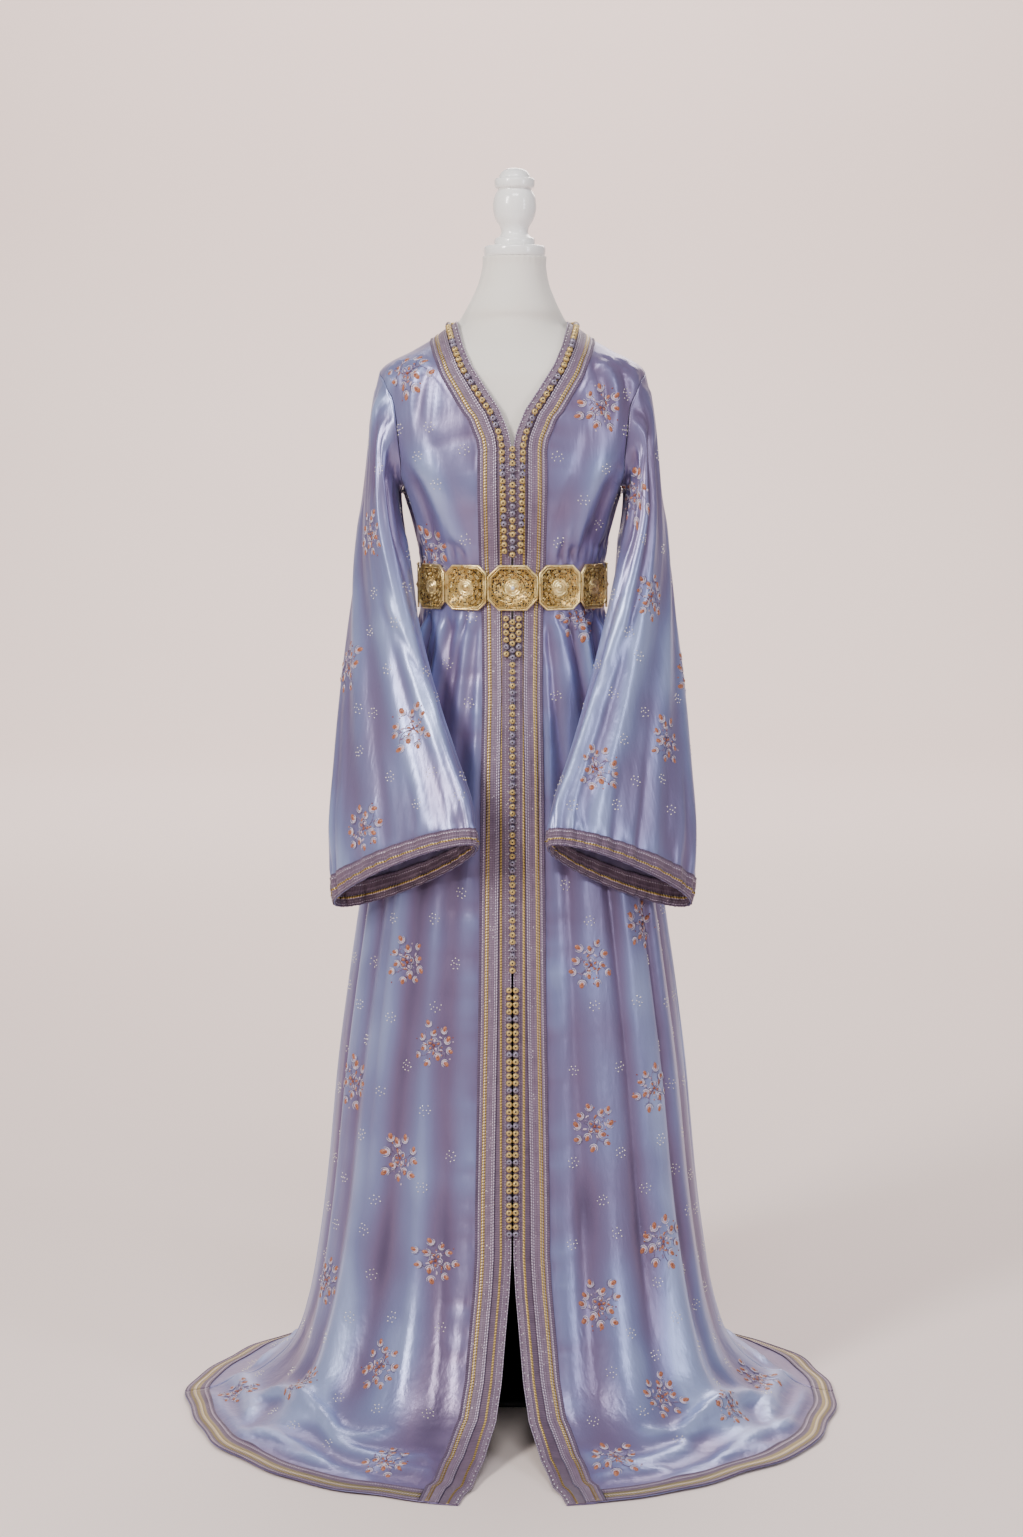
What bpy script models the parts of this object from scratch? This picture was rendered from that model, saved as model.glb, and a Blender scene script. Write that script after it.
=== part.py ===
"""Moroccan kaftan on a limbless dress form, in metres, +Z up, front towards -Y.

The gown is one family of level rings, each a superellipse with its own height, and every
panel, band and button row takes its points from them. The origin is the centre of the
stand's underside.
"""
import bpy
import bmesh
import math
from mathutils import Vector

COLLECTION = "moroccan_kaftan"
WALL = 0.0015
BAND_WALL = 0.0012
SEAM = 0.0003
BAND_WIDTH = 0.025
HEM_BAND_LEVEL = 20.30
WAIST_LEVEL = 9.0
BUTTON_RADIUS = 0.0038
BUTTON_PITCH = 0.0076
BUTTON_SIDES = 4
NECK_POINT = 1.300

RING_COLUMNS = ("height", "half_width", "front", "back", "centre", "square", "ease")
RINGS = [dict(zip(RING_COLUMNS, row)) for row in (
    (1.466, 0.0750, 0.052, 0.056, 0.000, 2.00, 0.0022),
    (1.447, 0.0990, 0.070, 0.068, 0.000, 2.05, 0.0022),
    (1.427, 0.1320, 0.086, 0.080, 0.000, 2.10, 0.0009),
    (1.401, 0.1760, 0.100, 0.092, 0.000, 2.20, 0.0007),
    (1.360, 0.1780, 0.110, 0.102, 0.000, 2.30, 0.0040),
    (1.300, 0.1680, 0.118, 0.106, 0.000, 2.30, 0.0050),
    (1.235, 0.1460, 0.124, 0.103, 0.000, 2.20, 0.0050),
    (1.180, 0.1310, 0.113, 0.094, 0.000, 2.10, 0.0040),
    (1.145, 0.1245, 0.104, 0.088, 0.000, 2.10, 0.0035),
    (1.080, 0.1245, 0.103, 0.089, 0.000, 2.10, 0.0035),
    (1.030, 0.1330, 0.108, 0.097, 0.000, 2.10, 0.0060),
    (0.900, 0.1610, 0.130, 0.122, 0.000, 2.10, 0.0120),
    (0.750, 0.1900, 0.150, 0.146, 0.000, 2.10, 0.0250),
    (0.600, 0.2130, 0.171, 0.168, 0.000, 2.10, 0.0400),
    (0.450, 0.2330, 0.192, 0.188, 0.000, 2.10, 0.0400),
    (0.300, 0.2480, 0.220, 0.205, -0.002, 2.10, 0.0400),
    (0.190, 0.2630, 0.247, 0.222, -0.006, 2.10, 0.0400),
    (0.110, 0.2790, 0.277, 0.243, -0.012, 2.10, 0.0400),
    (0.055, 0.3020, 0.308, 0.270, -0.022, 2.05, 0.0400),
    (0.020, 0.3460, 0.345, 0.305, -0.040, 2.00, 0.0400),
    (0.006, 0.3980, 0.380, 0.345, -0.060, 2.00, 0.0400),
    (0.002, 0.4450, 0.410, 0.382, -0.080, 2.00, 0.0400),
)]

# Pressed-out folds that run down the skirt: where round the body, how wide, how deep.
FOLD_COLUMNS = ("angle", "spread", "depth", "top", "bottom")
FOLDS = [dict(zip(FOLD_COLUMNS, row)) for row in (
    (-152.0, 8.0, 0.012, 10.0, 20.6),
    (-126.0, 8.0, 0.014, 10.0, 20.6),
    (-90.0, 8.0, 0.005, 11.0, 20.4),
    (-56.0, 7.0, 0.016, 11.0, 20.2),
    (-33.0, 6.5, 0.008, 13.0, 19.5),
    (31.0, 6.5, 0.009, 13.0, 19.5),
    (54.0, 7.0, 0.015, 11.0, 20.2),
    (90.0, 8.0, 0.005, 11.0, 20.4),
    (127.0, 8.0, 0.014, 10.0, 20.6),
    (153.0, 8.0, 0.012, 10.0, 20.6),
    (179.0, 8.0, 0.014, 10.0, 20.6),
)]

# The opening edge of the under layer, and how far outside it the outer layer begins.
EDGE_COLUMNS = ("height", "half_gap", "reveal")
EDGES = [dict(zip(EDGE_COLUMNS, row)) for row in (
    (1.466, 0.0750, 0.0170),
    (1.432, 0.0655, 0.0170),
    (1.407, 0.0550, 0.0170),
    (1.375, 0.0350, 0.0175),
    (1.347, 0.0165, 0.0185),
    (1.317, 0.0045, 0.0190),
    (1.300, 0.0015, 0.0195),
    (1.240, 0.0015, 0.0195),
    (1.150, 0.0015, 0.0180),
    (1.080, 0.0015, 0.0145),
    (0.970, 0.0015, 0.0135),
    (0.860, 0.0015, 0.0155),
    (0.550, 0.0015, 0.0185),
    (0.310, 0.0015, 0.0225),
    (0.240, 0.0015, 0.0230),
    (0.197, 0.0040, 0.0230),
    (0.092, 0.0140, 0.0230),
    (0.052, 0.0210, 0.0240),
    (0.020, 0.0360, 0.0270),
    (0.006, 0.0500, 0.0270),
    (0.002, 0.0670, 0.0250),
)]

# The armhole, from the shoulder tip down to the underarm, seen from the front.
ARMHOLE_COLUMNS = ("edge_height", "arm_height", "half_width")
ARMHOLE = [dict(zip(ARMHOLE_COLUMNS, row)) for row in (
    (1.466, 1.401, 0.1760),
    (1.436, 1.386, 0.1690),
    (1.411, 1.366, 0.1600),
    (1.386, 1.342, 0.1535),
    (1.360, 1.317, 0.1495),
    (1.334, 1.293, 0.1465),
    (1.308, 1.270, 0.1445),
    (1.282, 1.250, 0.1440),
    (1.255, 1.235, 0.1460),
)]
BODY_LEVELS = (6.7, 7.35, 8.0, WAIST_LEVEL, 10.0, 10.6, 11.3, 12.0, 12.7, 13.4, 14.1, 14.8, 15.5, 16.2,
               17.0, 17.8, 18.6, 19.2, 19.75, HEM_BAND_LEVEL, 21.0)
ARMPIT_LEVEL = 6.0
PANEL_SPLITS = 8
BACK_SPLITS = 18
BACK_SHOULDER_LEVELS = (2.3, 3.0)

# The right sleeve, from below the armhole to the cuff; the left one is its mirror image.
SLEEVE_COLUMNS = ("x", "y", "z", "long", "short", "turn", "rise_long", "rise_short")
SLEEVE = [dict(zip(SLEEVE_COLUMNS, row)) for row in (
    (0.1690, -0.002, 1.298, 0.066, 0.0180, 0.0, 0.000, 0.064),
    (0.1725, -0.006, 1.255, 0.070, 0.0230, 2.0, 0.000, 0.045),
    (0.1750, -0.014, 1.195, 0.074, 0.0290, 8.0, 0.000, 0.020),
    (0.1755, -0.026, 1.130, 0.077, 0.0320, 20.0, 0.000, 0.006),
    (0.1720, -0.048, 1.050, 0.081, 0.0320, 33.0, 0.002, 0.000),
    (0.1660, -0.080, 0.965, 0.092, 0.0320, 43.0, 0.006, 0.000),
    (0.1570, -0.114, 0.880, 0.106, 0.0310, 50.0, 0.014, 0.004),
    (0.1505, -0.139, 0.815, 0.117, 0.0300, 54.0, 0.028, 0.009),
    (0.1460, -0.153, 0.762, 0.119, 0.0300, 54.0, 0.045, 0.015),
    (0.1430, -0.159, 0.735, 0.117, 0.0310, 54.0, 0.050, 0.016),
)]
SLEEVE_ROWS = 13
SLEEVE_FOLDS = ((-22.0, 0.002), (30.0, 0.005), (75.0, 0.003), (180.0, 0.002), (300.0, 0.003))
SLEEVE_FOLD_SPREAD = 16.0

BELT_TOP = 1.143
BELT_BOTTOM = 1.083
BELT_LEVEL = 8.5
BELT_PLATES = 12
CENTRE_PLATE = 0.069
PLATE_THICKNESS = 0.0028
PLATE_CORNER = 0.24

STAND_RADIUS = 0.130
STAND_HEIGHT = 0.014
POLE_RADIUS = 0.0125
FORM_BOTTOM = 0.780
NECK_TOP = 1.5520
NECK_LEAN = 0.003
FORM_EASE = 0.0045
FORM_ARM_PLATE = 0.158

COLOURS = {
    "satin": (0.30, 0.29, 0.52, 0.42, 0.0),
    "band": (0.22, 0.15, 0.27, 0.60, 0.0),
    "gold": (0.72, 0.50, 0.20, 0.35, 1.0),
    "button": (0.66, 0.50, 0.26, 0.45, 0.5),
    "jersey": (0.80, 0.78, 0.74, 0.85, 0.0),
    "lacquer": (0.85, 0.85, 0.85, 0.25, 0.0),
    "black_steel": (0.02, 0.02, 0.022, 0.45, 0.0),
}


def clear_scene():
    for item in list(bpy.data.objects):
        bpy.data.objects.remove(item, do_unlink=True)


def make_material(name):
    red, green, blue, roughness, metallic = COLOURS[name]
    material = bpy.data.materials.new(name)
    material.use_nodes = True
    shader = material.node_tree.nodes["Principled BSDF"]
    shader.inputs["Base Color"].default_value = (red, green, blue, 1.0)
    shader.inputs["Roughness"].default_value = roughness
    shader.inputs["Metallic"].default_value = metallic
    return material


def add_object(name, points, faces, material):
    mesh = bpy.data.meshes.new(name)
    mesh.from_pydata([tuple(point) for point in points], [], faces)
    mesh.materials.append(material)
    item = bpy.data.objects.new(name, mesh)
    collection.objects.link(item)
    return item


def add_wall(item, thickness, side):
    """Give an open surface its thickness: side 1 grows outward, side -1 grows inward."""
    solidify = item.modifiers.new("wall", "SOLIDIFY")
    solidify.thickness = thickness
    solidify.offset = side
    solidify.use_even_offset = False


def table_value(rows, key, column, where):
    """Straight-line reading of a table whose key column falls from row to row."""
    if where >= rows[0][key]:
        return rows[0][column]
    for upper, lower in zip(rows, rows[1:]):
        if where >= lower[key]:
            share = (upper[key] - where) / (upper[key] - lower[key])
            return upper[column] + share * (lower[column] - upper[column])
    return rows[-1][column]


def smooth_row(rows, place):
    """Catmull-Rom reading of every column at a fractional row number."""
    place = min(max(place, 0.0), len(rows) - 1.0)
    index = min(int(place), len(rows) - 2)
    share = place - index
    around = [rows[min(max(index + step, 0), len(rows) - 1)] for step in (-1, 0, 1, 2)]
    weights = (
        0.5 * (-share + 2 * share ** 2 - share ** 3),
        0.5 * (2 - 5 * share ** 2 + 3 * share ** 3),
        0.5 * (share + 4 * share ** 2 - 3 * share ** 3),
        0.5 * (-share ** 2 + share ** 3),
    )
    return {key: sum(w * row[key] for w, row in zip(weights, around)) for key in rows[0]}


def power(value, exponent):
    return math.copysign(abs(value) ** exponent, value)


def level_of(height):
    """The ring number whose height is the one asked for."""
    low, high = 0.0, len(RINGS) - 1.0
    for _ in range(30):
        middle = (low + high) / 2
        if smooth_row(RINGS, middle)["height"] > height:
            low = middle
        else:
            high = middle
    return (low + high) / 2


def fold_rise(angle, level):
    rise = 0.0
    for fold in FOLDS:
        away = (angle - fold["angle"] + 180.0) % 360.0 - 180.0
        down = (level - fold["top"]) / 6.0
        fade = min(max(down, 0.0), 1.0) * min(max((fold["bottom"] - level) / 1.5, 0.0), 1.0)
        rise += fold["depth"] * fade * math.exp(-(away / fold["spread"]) ** 2)
    return rise


def plain_point(angle, level):
    """A point of the gown without folds; the angle runs from the front, + to the right."""
    ring = smooth_row(RINGS, level)
    turn = math.radians(angle)
    exponent = 2.0 / ring["square"]
    depth = ring["front"] if math.cos(turn) > 0 else ring["back"]
    x = ring["half_width"] * power(math.sin(turn), exponent)
    y = ring["centre"] - depth * power(math.cos(turn), exponent)
    return Vector((x, y, ring["height"]))


def outward(angle, level):
    step = 0.5
    across = plain_point(angle + step, level) - plain_point(angle - step, level)
    down = plain_point(angle, level + 0.05) - plain_point(angle, level - 0.05)
    return down.cross(across).normalized()


def gown_point(angle, level, lift=0.0):
    """A point of the gown, folds and all, moved out by lift."""
    return plain_point(angle, level) + outward(angle, level) * (fold_rise(angle, level) + lift)


def angle_at(width, level):
    """The angle at which the ring of this level is that far from the middle plane."""
    ring = smooth_row(RINGS, level)
    share = min(max(width / ring["half_width"], -1.0), 1.0)
    return math.degrees(math.asin(power(share, ring["square"] / 2.0)))


def build_rows():
    """Each row of the front: the level at the opening, and the level and angle at the side."""
    rows = []
    for row in ARMHOLE:
        arm_level = level_of(row["arm_height"])
        edge_level = level_of(row["edge_height"])
        rows.append((edge_level, arm_level, angle_at(row["half_width"], arm_level)))
    rows[0] = (0.0, 3.0, 90.0)
    rows[-1] = (rows[-1][0], ARMPIT_LEVEL, 90.0)
    rows += [(level, level, 90.0) for level in BODY_LEVELS]
    return rows


def row_at(place):
    index = min(int(place), len(ROWS) - 2)
    share = place - index
    return [a + share * (b - a) for a, b in zip(ROWS[index], ROWS[index + 1])]


def edge_angle(level):
    height = smooth_row(RINGS, level)["height"]
    if level <= 0.001:
        return 90.0
    return angle_at(table_value(EDGES, "height", "half_gap", height), level)


def front_address(place, width):
    """Angle and level on row number place, at a width measured square to the edge."""
    edge_level, side_level, side_angle = row_at(place)
    start = edge_angle(edge_level)
    near = 0.04

    def on_row(share):
        return start + share * (side_angle - start), edge_level + share * (side_level - edge_level)

    if width <= 0.0:
        return on_row(0.0)
    other = min(place + near, len(ROWS) - 1.0)
    back = other - near
    ahead_level, behind_level = row_at(other)[0], row_at(back)[0]
    ahead = plain_point(edge_angle(ahead_level), ahead_level)
    behind = plain_point(edge_angle(behind_level), behind_level)
    along = (ahead - behind).normalized()
    across = (plain_point(*on_row(near)) - plain_point(*on_row(0.0))).normalized()
    slant = max(along.cross(across).length, 0.5)
    wanted = width / slant
    walked, before, steps = 0.0, plain_point(*on_row(0.0)), 60
    for step in range(1, steps + 1):
        after = plain_point(*on_row(step / steps))
        stride = (after - before).length
        if walked + stride >= wanted:
            return on_row((step - 1 + (wanted - walked) / stride) / steps)
        walked, before = walked + stride, after
    return on_row(1.0)


def reveal_at(place):
    edge_level = row_at(place)[0]
    height = smooth_row(RINGS, edge_level)["height"]
    return table_value(EDGES, "height", "reveal", height)


def front_columns(place):
    """Addresses across one row: the under edge, the band's three lines, then the satin."""
    reveal = reveal_at(place)
    lines = [front_address(place, 0.0)]
    lines += [front_address(place, reveal + share * BAND_WIDTH) for share in (0.0, 0.5, 1.0)]
    _, side_level, side_angle = row_at(place)
    start_angle, start_level = lines[-1]
    for split in range(1, PANEL_SPLITS + 1):
        share = split / PANEL_SPLITS
        lines.append((start_angle + share * (side_angle - start_angle),
                      start_level + share * (side_level - start_level)))
    return lines


def neck_level(width):
    """The level that lies this far from the neck edge along the shoulder."""
    walked, level, step = 0.0, 0.0, 0.02
    while walked < width:
        walked += (plain_point(90.0, level + step) - plain_point(90.0, level)).length
        level += step
    return level


def back_side_angle(level):
    """Where the back stops at the side: the shoulder, the armhole or the side seam."""
    if level <= 3.0 or level >= ARMPIT_LEVEL:
        return 90.0
    height = smooth_row(RINGS, level)["height"]
    return 180.0 - angle_at(table_value(ARMHOLE, "arm_height", "half_width", height), level)


def surface_sheet(name, addresses, lift, thickness, side, material, seam_way, mirrored=False,
                  waist_way=0, centre_way=0):
    """An open grid of gown points, one row of addresses after another, given its wall.

    The three ways move an edge back from its seam: at the side, at the waist and down the
    middle of the back.
    """
    points = []
    for row in addresses:
        for angle, level in row:
            point = gown_point(-angle if mirrored else angle, level, lift)
            if abs(abs(angle - 180.0) - 90.0) < 0.01:
                point.y += seam_way * SEAM
            if level == WAIST_LEVEL:
                point.z += waist_way * SEAM / 2
            if abs(angle - 180.0) < 0.01:
                point.x += centre_way * SEAM / 2
            points.append(point)
    faces = grid_faces(len(addresses), len(addresses[0]), flip=mirrored)
    item = add_object(name, points, faces, material)
    add_wall(item, thickness, side)


def grid_faces(rows, columns, shut=False, flip=False):
    faces = []
    for row in range(rows - 1):
        for column in range(columns if shut else columns - 1):
            beside = (column + 1) % columns
            corner = row * columns + column
            right = row * columns + beside
            below, below_right = corner + columns, right + columns
            faces += [(corner, below, below_right), (corner, below_right, right)]
    if flip:
        faces = [tuple(reversed(face)) for face in faces]
    return faces


def nudged(row, share):
    """Moves the first address a little towards the second, to leave a seam."""
    (angle_a, level_a), (angle_b, level_b) = row[0], row[1]
    first = (angle_a + share * (angle_b - angle_a), level_a + share * (level_b - level_a))
    return [first] + row[1:]


def build_fronts():
    grid = [front_columns(place) for place in range(len(ROWS))]
    waist = len(ARMHOLE) + BODY_LEVELS.index(WAIST_LEVEL)
    last = len(grid)
    pieces = (
        ("bodice_front", [row[1:] for row in grid[:waist + 1]], 0.0, WALL, 1, satin, 1),
        ("skirt_front", [row[1:] for row in grid[waist:]], 0.0, WALL, 1, satin, -1),
        ("front_band", [row[1:4] for row in grid], WALL + SEAM, BAND_WALL, 1, band, 0),
        ("under_front", [row[0:3] for row in grid], -SEAM, BAND_WALL, -1, band, 0),
        ("hem_band", [nudged(row[3:], 0.012) for row in grid[last - 2:]],
         WALL + SEAM, BAND_WALL, 1, band, 0),
    )
    for stem, addresses, lift, thickness, side, material, waist_way in pieces:
        for hand, mirrored in (("_right", False), ("_left", True)):
            surface_sheet(stem + hand, addresses, lift, thickness, side, material, -1, mirrored,
                          waist_way)


def back_row(level):
    side = back_side_angle(level)
    return [side + (360.0 - 2 * side) * split / BACK_SPLITS for split in range(BACK_SPLITS + 1)]


def build_back():
    reveal = EDGES[0]["reveal"]
    band_levels = [neck_level(reveal + share * BAND_WIDTH) for share in (0.0, 0.5, 1.0)]
    armhole_levels = [row[1] for row in ROWS[1:len(ARMHOLE)]]
    levels = band_levels + list(BACK_SHOULDER_LEVELS) + armhole_levels + list(BODY_LEVELS)

    def addresses(chosen):
        return [[(angle, level) for angle in back_row(level)] for level in chosen]

    waist = levels.index(WAIST_LEVEL)
    middle = BACK_SPLITS // 2
    skirt = addresses(levels[waist:])
    surface_sheet("bodice_back", addresses(levels[:waist + 1]), 0.0, WALL, 1, satin, 1, False, 1)
    surface_sheet("skirt_back_right", [row[:middle + 1] for row in skirt], 0.0, WALL, 1, satin, 1,
                  False, -1, 1)
    surface_sheet("skirt_back_left", [row[middle:] for row in skirt], 0.0, WALL, 1, satin, 1,
                  False, -1, -1)
    surface_sheet("back_neck_band", addresses(band_levels), WALL + SEAM, BAND_WALL, 1, band, 1)
    surface_sheet("under_back_neck", addresses([0.0] + band_levels[:2]), -SEAM, BAND_WALL, -1,
                  band, 1)
    surface_sheet("hem_band_back", addresses(levels[-2:]), WALL + SEAM, BAND_WALL, 1, band, 1)


def sleeve_ring_point(row, turn):
    spin = math.radians(row["turn"])
    ahead = Vector((-math.sin(spin), -math.cos(spin), 0.0))
    away = Vector((math.cos(spin), -math.sin(spin), 0.0))
    along, over = math.sin(turn), math.cos(turn)
    point = Vector((row["x"], row["y"], row["z"]))
    point += ahead * (row["long"] * along) + away * (row["short"] * over)
    point.z += row["rise_long"] * along + row["rise_short"] * over
    return point


def armhole_loop():
    """The armhole's points as the panels hold them: down the front, then up the back."""
    front = [gown_point(row[2], row[1]) for row in ROWS[:len(ARMHOLE)]]
    back = [gown_point(180.0 - row[2], row[1]) for row in ROWS[:len(ARMHOLE)]]
    loop = front + list(reversed(back[1:-1]))
    return [point + Vector((WALL + SEAM, 0.0, 0.0)) for point in loop]


def sleeve_grid():
    loop = armhole_loop()
    count = len(loop)
    turns = [2 * math.pi * index / count for index in range(count)]
    rows = [loop]
    band_top = len(SLEEVE) - 2.0
    for number in range(SLEEVE_ROWS):
        place = band_top * number / (SLEEVE_ROWS - 1)
        rows.append(folded_ring(smooth_row(SLEEVE, place), turns, place))
    rows.append(folded_ring(SLEEVE[-1], turns, band_top + 1.0))
    return rows


def folded_ring(row, turns, place):
    points = []
    middle = Vector((row["x"], row["y"], row["z"]))
    fade = min(max((place - 1.0) / 3.0, 0.0), 1.0) * min(max((9.0 - place) / 2.0, 0.25), 1.0)
    for turn in turns:
        point = sleeve_ring_point(row, turn)
        rise = 0.0
        for angle, depth in SLEEVE_FOLDS:
            away = (math.degrees(turn) - angle + 180.0) % 360.0 - 180.0
            rise += depth * fade * math.exp(-(away / SLEEVE_FOLD_SPREAD) ** 2)
        outward_way = (point - middle).normalized()
        points.append(point + outward_way * rise)
    return points


def tube_object(name, rows, mirrored, thickness, side, material, shut=True):
    points = [point.copy() for row in rows for point in row]
    if mirrored:
        for point in points:
            point.x = -point.x
    faces = grid_faces(len(rows), len(rows[0]), shut, flip=not mirrored)
    item = add_object(name, points, faces, material)
    add_wall(item, thickness, side)


def seam_room(before, here, after):
    """How far both walls stop short of a seam, so that they stay apart where the cloth bends."""
    bend = (here - before).angle(after - here) / 2
    return (SEAM * 0.75 + WALL * math.sin(bend)) / math.cos(bend)


def half_sleeve(rows, first):
    """Half of each ring, from seam to seam, with both ends drawn back from the seams."""
    half = len(rows[0]) // 2
    kept = []
    for row in rows:
        count = len(row)
        ring = [row[(first + step) % count].copy() for step in range(half + 1)]
        for end, way in ((0, 1), (half, -1)):
            place = first + end
            around = [row[(place + step) % count] for step in (-1, 0, 1)]
            ring[end] += (row[(place + way) % count] - around[1]).normalized() * seam_room(*around)
        kept.append(ring)
    return kept


def pushed_out(rows, amount):
    """The last two rings moved away from their middle, for the band on the cuff."""
    moved = []
    for row in rows[-2:]:
        middle = sum(row, Vector()) / len(row)
        moved.append([point + (point - middle).normalized() * amount for point in row])
    return moved


def build_sleeves():
    rows = sleeve_grid()
    for side, mirrored in (("right", False), ("left", True)):
        for stem, first in (("sleeve_front_", 0), ("sleeve_back_", len(rows[0]) // 2)):
            tube_object(stem + side, half_sleeve(rows, first), mirrored, WALL, -1, satin, False)
        tube_object("cuff_band_" + side, pushed_out(rows, 3 * SEAM), mirrored, BAND_WALL, 1, band)


def resampled(points, spacing):
    """Points at an even pitch along a line of points."""
    result, carried = [points[0].copy()], 0.0
    for start, end in zip(points, points[1:]):
        length = (end - start).length
        while carried + length >= spacing:
            share = (spacing - carried) / length
            start = start.lerp(end, share)
            result.append(start.copy())
            length = (end - start).length
            carried = 0.0
        carried += length
    return result


def build_button_row(name, line):
    """A string of knotted buttons: rings that swell at each button and pinch between."""
    centres = resampled(line, BUTTON_PITCH / 2)
    if len(centres) % 2 == 0:
        centres.pop()
    points, faces = [], []
    for index, centre in enumerate(centres):
        ahead = centres[min(index + 1, len(centres) - 1)] - centres[max(index - 1, 0)]
        ahead.normalize()
        level_way = ahead.cross(Vector((0, -1, 0.2))).normalized()
        other_way = ahead.cross(level_way).normalized()
        radius = BUTTON_RADIUS if index % 2 else BUTTON_RADIUS * 0.42
        for spoke in range(BUTTON_SIDES):
            turn = 2 * math.pi * (spoke + 0.5) / BUTTON_SIDES
            points.append(centre + (level_way * math.cos(turn) + other_way * math.sin(turn)) * radius)
    faces += grid_faces(len(centres), BUTTON_SIDES, shut=True)
    faces.append(tuple(range(BUTTON_SIDES)))
    faces.append(tuple(reversed(range(len(points) - BUTTON_SIDES, len(points)))))
    repair_normals(add_object(name, points, faces, button))


def repair_normals(item):
    work = bmesh.new()
    work.from_mesh(item.data)
    bmesh.ops.recalc_face_normals(work, faces=work.faces)
    work.to_mesh(item.data)
    work.free()


def opening_point(side, width, level, lift):
    """A point of the under layer beside the opening, from its distance to the middle."""
    return gown_point(side * angle_at(width, level), level, lift)


def build_buttons():
    lift = BUTTON_RADIUS * 0.71 + 2.5 * SEAM
    neck_lift = BUTTON_RADIUS + 1.2 * SEAM
    for name, side in (("left", -1), ("right", 1)):
        neck = neck_level(0.0110)
        line = [gown_point(side * angle, neck, neck_lift) for angle in range(176, 88, -8)]
        for step in range(1, 45):
            place = step * 0.25
            edge_level = row_at(place)[0]
            if edge_level > level_of(BELT_TOP + 0.008):
                break
            height = smooth_row(RINGS, edge_level)["height"]
            below_neck = min(max((NECK_POINT - height) / 0.15, 0.0), 1.0)
            width = 0.0115 + 0.0005 * min(place, 2.0) - 0.0040 * below_neck
            angle, level = front_address(place, width)
            here = neck_lift + (lift - neck_lift) * min(place / 2.0, 1.0)
            line.append(gown_point(side * angle, level, here))
        build_button_row("buttons_neck_" + name, line)
        for stem, top, bottom, wide_top, wide_bottom in (
                ("buttons_waist_", BELT_BOTTOM - 0.006, 1.018, 0.0085, 0.0080),
                ("buttons_skirt_", 0.590, 0.262, 0.0043, 0.0043)):
            line = []
            for step in range(41):
                height = top + (bottom - top) * step / 40
                width = wide_top + (wide_bottom - wide_top) * step / 40
                line.append(opening_point(side, width, level_of(height), lift))
            build_button_row(stem + name, line)
    for name, top, bottom in (("buttons_middle_top", 1.300, BELT_TOP + 0.008),
                              ("buttons_middle", BELT_BOTTOM - 0.006, 0.602)):
        line = [opening_point(1, 0.0, level_of(top + (bottom - top) * step / 60), lift)
                for step in range(61)]
        build_button_row(name, line)


def belt_angles():
    """The middle angle of each plate, so that the plates have their own widths round the waist."""
    steps = 720
    ring = [plain_point(360.0 * step / steps, BELT_LEVEL) for step in range(steps + 1)]
    walked = [0.0]
    for before, after in zip(ring, ring[1:]):
        walked.append(walked[-1] + (after - before).length)
    share = (walked[-1] - CENTRE_PLATE * 0.97) / (BELT_PLATES - 1)
    middles = [0.0] + [CENTRE_PLATE * 0.485 + share * (plate - 0.5) for plate in range(1, BELT_PLATES)]
    angles = []
    for middle in middles:
        step = next(index for index, length in enumerate(walked) if length >= middle)
        angles.append(360.0 * step / steps)
    return angles


def cloth_top(angle, level):
    """The outer face of whatever cloth lies here: under layer, front band or satin."""
    point = plain_point(angle, level)
    height = smooth_row(RINGS, level)["height"]
    inner = table_value(EDGES, "height", "reveal", height)
    lift = WALL
    if point.y < 0 and abs(point.x) < inner + BAND_WIDTH + 0.004:
        lift = WALL + SEAM + BAND_WALL
    if point.y < 0 and abs(point.x) < inner:
        lift = -SEAM
    return point + outward(angle, level) * lift


def belt_planes():
    """Each plate's middle point and its outward and sideways directions."""
    planes = []
    for angle in belt_angles():
        point = plain_point(angle, BELT_LEVEL)
        beside = plain_point(angle + 1.0, BELT_LEVEL) - plain_point(angle - 1.0, BELT_LEVEL)
        beside.z = 0.0
        beside.normalize()
        out = Vector((beside.y, -beside.x, 0.0))
        reach = max((cloth_top(angle + aside, level) - point).dot(out)
                    for aside in range(-15, 16) for level in (8.0, 8.5, 9.0))
        planes.append((point + out * (reach + SEAM), out, beside))
    return planes


def meeting(plane_a, plane_b):
    """Where two upright plates' back faces meet, seen from above."""
    point_a, out_a, beside_a = plane_a
    point_b, out_b, beside_b = plane_b
    return (point_b - point_a).dot(out_b) / beside_a.dot(out_b)


def plate_outline(left, right, low, high, corner):
    cut = corner * (high - low)
    return [(left + cut, low), (right - cut, low), (right, low + cut), (right, high - cut),
            (right - cut, high), (left + cut, high), (left, high - cut), (left, low + cut)]


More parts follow.
